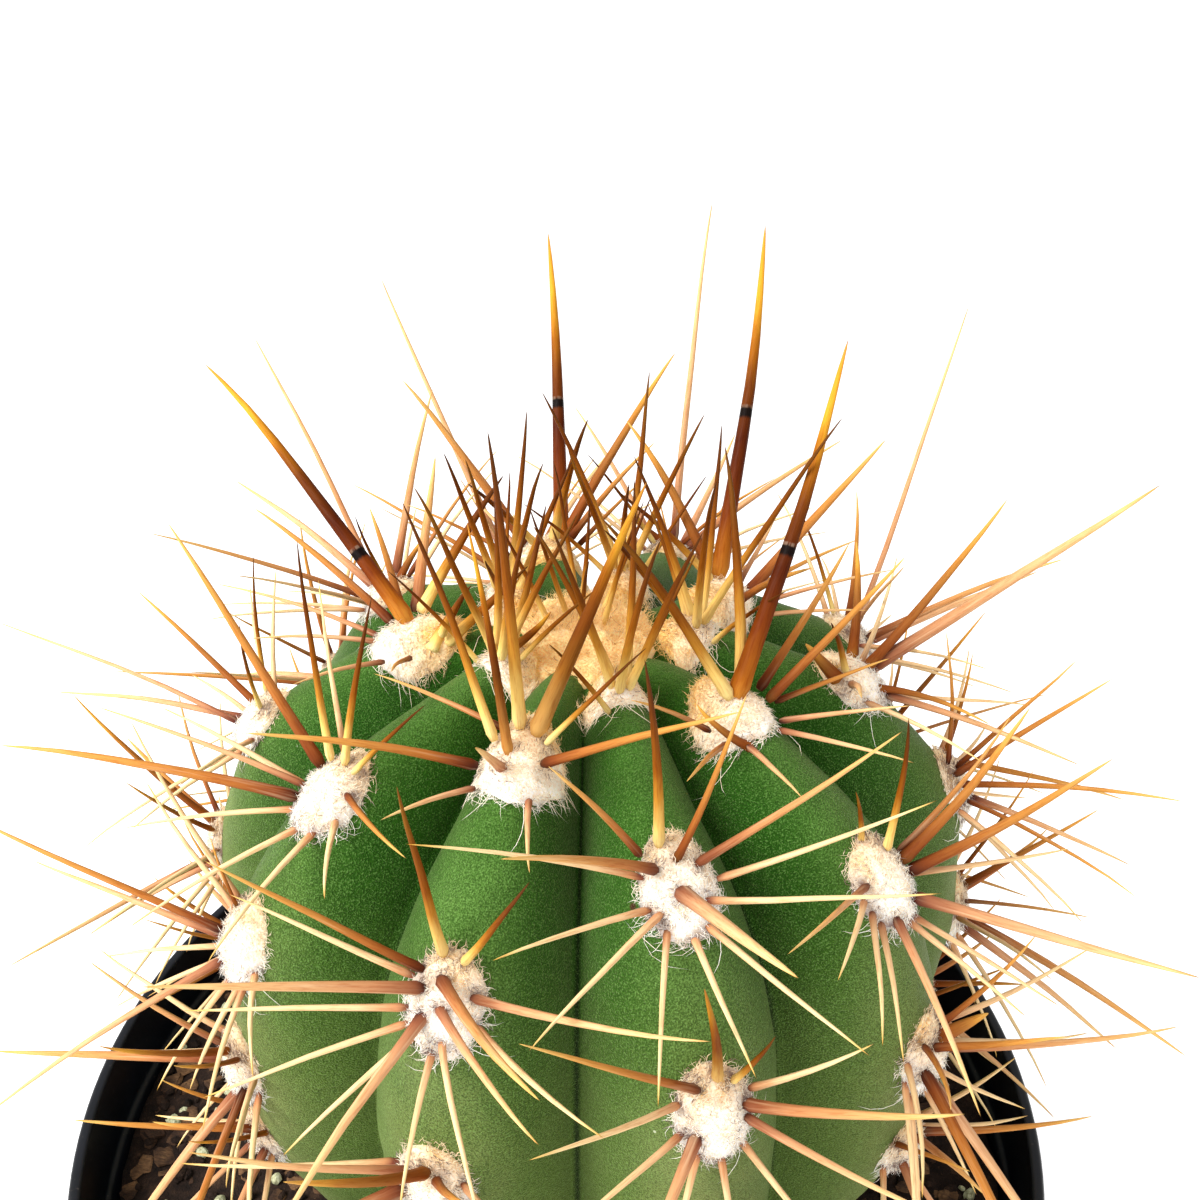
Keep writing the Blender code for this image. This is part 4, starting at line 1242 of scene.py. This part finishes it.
# %% Measure the pot
POT_STEPS = 160
WALL = 1.3 * MM
BAND_HEIGHT = 14 * MM
BAND_STEP = 1.8 * MM
FLOOR_THICKNESS = 2 * MM
BASE_RADIUS = 62 * MM
FOOT_RADIUS = 50 * MM           # the pot stands on the ring outside this
FOOT_RECESS = 0.6 * MM          # and its middle stays this far off the table
FOOT_ROUND = 2.5 * MM           # rounding where the wall meets the foot
STEP_ROUND = 0.9 * MM           # rounding where the wall steps out to the band
LIP_ROUND = 1.0 * MM            # rounding of the rim, outside and inside
LIP_INNER_ROUND = 0.6 * MM
DRAIN_SLOTS = 8
DRAIN_SLOT_SIZE = (14 * MM, 3.4 * MM)
DRAIN_SLOT_RING = 44 * MM
pot_low, pot_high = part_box("pot")
rim_radius = (pot_high.x - pot_low.x) / 2
rim_height = pot_high.z
print("pot rim radius %.1f mm, height %.1f mm" % (rim_radius / MM, rim_height / MM))


# %% Tools for turned and cut shapes
def arc_points(centre, radius, start, end, count):
    """Points (r, z) along a round stretch of an outline, angles in degrees."""
    angles = np.radians(np.linspace(start, end, count))
    return [(centre[0] + radius * math.cos(a), centre[1] + radius * math.sin(a)) for a in angles]


def turn_outline(outline, steps):
    """Spin an outline whose ends lie on the axis into a closed shape."""
    bm = bmesh.new()
    verts = [bm.verts.new((r, 0, z)) for r, z in outline]
    edges = [bm.edges.new(pair) for pair in zip(verts, verts[1:])]
    bmesh.ops.spin(bm, geom=verts + edges, axis=(0, 0, 1), cent=(0, 0, 0), angle=math.tau,
                   steps=steps, use_merge=True)
    bmesh.ops.remove_doubles(bm, verts=bm.verts, dist=0.01 * MM)
    bmesh.ops.recalc_face_normals(bm, faces=bm.faces)
    return bm


def slot_cutter():
    """Boxes that reach through the pot's floor, in a ring."""
    slots = bmesh.new()
    for index in range(DRAIN_SLOTS):
        turn = Matrix.Rotation(math.tau * (index + 0.5) / DRAIN_SLOTS, 4, "Z")
        size = Matrix.Diagonal((*DRAIN_SLOT_SIZE, FLOOR_THICKNESS * 3, 1))
        place = turn @ Matrix.Translation((DRAIN_SLOT_RING, 0, FLOOR_THICKNESS / 2)) @ size
        bmesh.ops.create_cube(slots, size=1, matrix=place)
    return slots


def cut_away(mesh, cutter):
    """A new mesh with the cutter's shape taken out by a Boolean modifier."""
    body, tool = place_object("body", mesh), place_object("tool", cutter)
    body.modifiers.new("cut", "BOOLEAN").object = tool
    depsgraph = bpy.context.evaluated_depsgraph_get()
    result = bpy.data.meshes.new_from_object(body.evaluated_get(depsgraph))
    for made in (body, tool):
        bpy.data.objects.remove(made)
    for used in (mesh, cutter):
        bpy.data.meshes.remove(used)
    return result


print("drain slots:", DRAIN_SLOTS)

# %% Turn the pot and cut its slots
band_foot = rim_height - BAND_HEIGHT
shoulder = rim_radius - 0.6 * MM - BAND_STEP
outline = [(0, FOOT_RECESS), (FOOT_RADIUS, FOOT_RECESS), (FOOT_RADIUS + 1.5 * MM, 0)]
outline += arc_points((BASE_RADIUS - FOOT_ROUND, FOOT_ROUND), FOOT_ROUND, -90, 0, 7)
outline += [(BASE_RADIUS + (shoulder - BASE_RADIUS) * share,
             FOOT_ROUND + (band_foot - 4 * MM) * share) for share in (0.25, 0.5, 0.75, 0.97)]
outline += arc_points((shoulder + STEP_ROUND, band_foot - 0.2 * MM), STEP_ROUND, 180, 100, 4)
outline += arc_points((rim_radius - 1.5 * MM, band_foot + 1.6 * MM), STEP_ROUND, -80, 0, 4)
outline += arc_points((rim_radius - LIP_ROUND, rim_height - LIP_ROUND), LIP_ROUND, -20, 90, 8)
outline += arc_points((rim_radius - 1.5 * MM, rim_height - LIP_INNER_ROUND), LIP_INNER_ROUND,
                      90, 180, 5)
outline += arc_points((rim_radius - 1.9 * MM - WALL, band_foot + 1.4 * MM), STEP_ROUND, 0, -80, 4)
outline += [(shoulder - WALL, band_foot - 0.2 * MM), (BASE_RADIUS - WALL, 6 * MM)]
outline += arc_points((BASE_RADIUS - WALL - FOOT_ROUND, FLOOR_THICKNESS + FOOT_ROUND),
                      FOOT_ROUND, 0, -90, 5)
outline.append((0, FLOOR_THICKNESS))
bm = turn_outline(outline, POT_STEPS)
pot_mesh = cut_away(mesh_from(bm, "nursery_pot"), mesh_from(slot_cutter(), "cutter"))
print("pot with its drain slots:", len(pot_mesh.polygons), "faces")
finish_mesh("nursery_pot", pot_mesh, pot_finish, ("pot",))
pot_mesh.set_sharp_from_angle(angle=math.radians(40))

# %% [markdown]
# ## The potting mix
# The soil is a dark mix of peat and bark with grains of pale perlite.  Its bed is a turned
# mound, roughened by noise; on it lie crumbs, bark chips and perlite as pieces of their own,
# because they cast the small shadows that make soil look loose.

# %% Soil materials
soil_finish, tree, shader = new_material("potting_mix_bed", Specular_IOR_Level=0.2)
place = coordinates(tree)
clods = grain(tree, place, 3 * MM, 4, 0.7)
fines = grain(tree, place, 0.5 * MM, 3, 0.7)
colour = paint(tree, clods, ((0.3, 20, 14, 11), (0.55, 44, 31, 24), (0.8, 84, 62, 46)))
colour = tint(tree, colour, mask(tree, fines, 0.62, 0.78), 0.5, srgb(128, 98, 70))
dress(tree, shader, colour, fines, 0.6 * MM, 0.9, (0.2, 0.85, 0.8, 0.98))

perlite_finish, tree, shader = new_material("perlite", Specular_IOR_Level=0.3)
place = coordinates(tree)
pits = grain(tree, place, 0.6 * MM, 3, 0.6)
colour = paint(tree, pits, ((0.3, 124, 122, 88), (0.5, 190, 190, 150), (0.8, 226, 228, 200)))
dress(tree, shader, colour, pits, 0.3 * MM, 0.9, (0.2, 0.7, 0.8, 0.95))

bark_finish, tree, shader = new_material("bark", Specular_IOR_Level=0.25)
place = coordinates(tree)
fibre = grain(tree, stretched(tree, place, (1.0, 3.0, 1.0)), 0.8 * MM, 4, 0.6)
batch = grain(tree, place, 6 * MM, 1)
colour = mix(tree, mask(tree, batch, 0.4, 0.62),
             paint(tree, fibre, ((0.3, 38, 25, 18), (0.7, 78, 54, 38))),
             paint(tree, fibre, ((0.3, 80, 55, 36), (0.7, 142, 106, 72))))
dress(tree, shader, colour, fibre, 0.4 * MM, 0.9, (0.2, 0.7, 0.8, 0.95))
print("bark finish nodes:", len(tree.nodes))

# %% Soil bed
SOIL_EDGE = rim_height - 12.8 * MM
SOIL_MIDDLE = rim_height - 10.4 * MM
SOIL_RADIUS = 77.6 * MM
SOIL_STEPS = 170
CLOD_SIZE = 7                   # across, in mm
CLOD_HEIGHT = 1.1 * MM


def soil_height(x, y):
    """Height of the soil's surface, lumps and all."""
    share = min(math.hypot(x, y) / SOIL_RADIUS, 1)
    slope = math.sin((1 - share) * math.pi) if share > 0.5 else 1
    base = SOIL_EDGE + (SOIL_MIDDLE - SOIL_EDGE) * slope
    lumps = noise.fractal(Vector((x, y, 0)) / MM / CLOD_SIZE, 0.7, 2.1, 4)
    return base + lumps * CLOD_HEIGHT


outline = [(SOIL_RADIUS * share, SOIL_EDGE) for share in np.linspace(0, 1, 56)]
outline += [(BASE_RADIUS - WALL - 0.6 * MM, 8 * MM), (BASE_RADIUS - WALL - 4 * MM, 3 * MM),
            (0, 3 * MM)]
bm = turn_outline(outline, SOIL_STEPS)
for vert in bm.verts:
    if vert.co.z > SOIL_EDGE - 1 * MM:
        vert.co.z = soil_height(vert.co.x, vert.co.y)
finish_piece("soil_bed", bm, soil_finish, ("soil",))


# %% Loose grains on the soil
OPEN_SOIL = (40 * MM, SOIL_RADIUS - 1.5 * MM)       # from the middle: where grains may lie


def scatter(name, shape, count, sizes, finish, sink, flat=1.0):
    """Copies of a small shape, turned and squashed at random, lying on the soil.

    Sizes are the smallest and largest, in mm, and sink is the share that is buried.
    """
    verts = points_of(shape)
    mesh = mesh_from(copies(shape, count), name)
    shape.free()
    spots = []
    while len(spots) < count:
        x, y = chance.uniform(-SOIL_RADIUS, SOIL_RADIUS, 2)
        if not OPEN_SOIL[0] < math.hypot(x, y) < OPEN_SOIL[1]:
            continue
        turn = Matrix.Rotation(chance.uniform(0, math.tau), 3, "Z")
        tilt = Matrix.Rotation(chance.normal(0, 0.35), 3, "X")
        size = chance.uniform(*sizes) * MM
        squash = np.array((1, chance.uniform(0.55, 1), chance.uniform(0.5, 1) * flat))
        jitter = 1 + chance.normal(0, 0.12, verts.shape)
        local = (verts * jitter * squash * size / 2) @ np.array(turn @ tilt).T
        spots.append(local + (x, y, soil_height(x, y) + size * squash[2] * (0.5 - sink)))
    mesh.vertices.foreach_set("co", np.array(spots, dtype=np.float32).ravel())
    mesh.update()
    finish_mesh(name, mesh, finish, (), smooth=False)


scatter("soil_crumbs", ball(1), 1500, (0.8, 2.6), soil_finish, 0.2)
scatter("perlite_grains", ball(2), 170, (1.2, 3.2), perlite_finish, 0.25)
chip = bmesh.new()
bmesh.ops.create_cube(chip, size=2)
bmesh.ops.bevel(chip, geom=chip.edges[:], offset=0.35, offset_type="OFFSET", segments=1,
                profile=0.5, affect="EDGES", material=-1)
scatter("bark_chips", chip, 640, (1.2, 4.0), bark_finish, 0.2, 0.35)
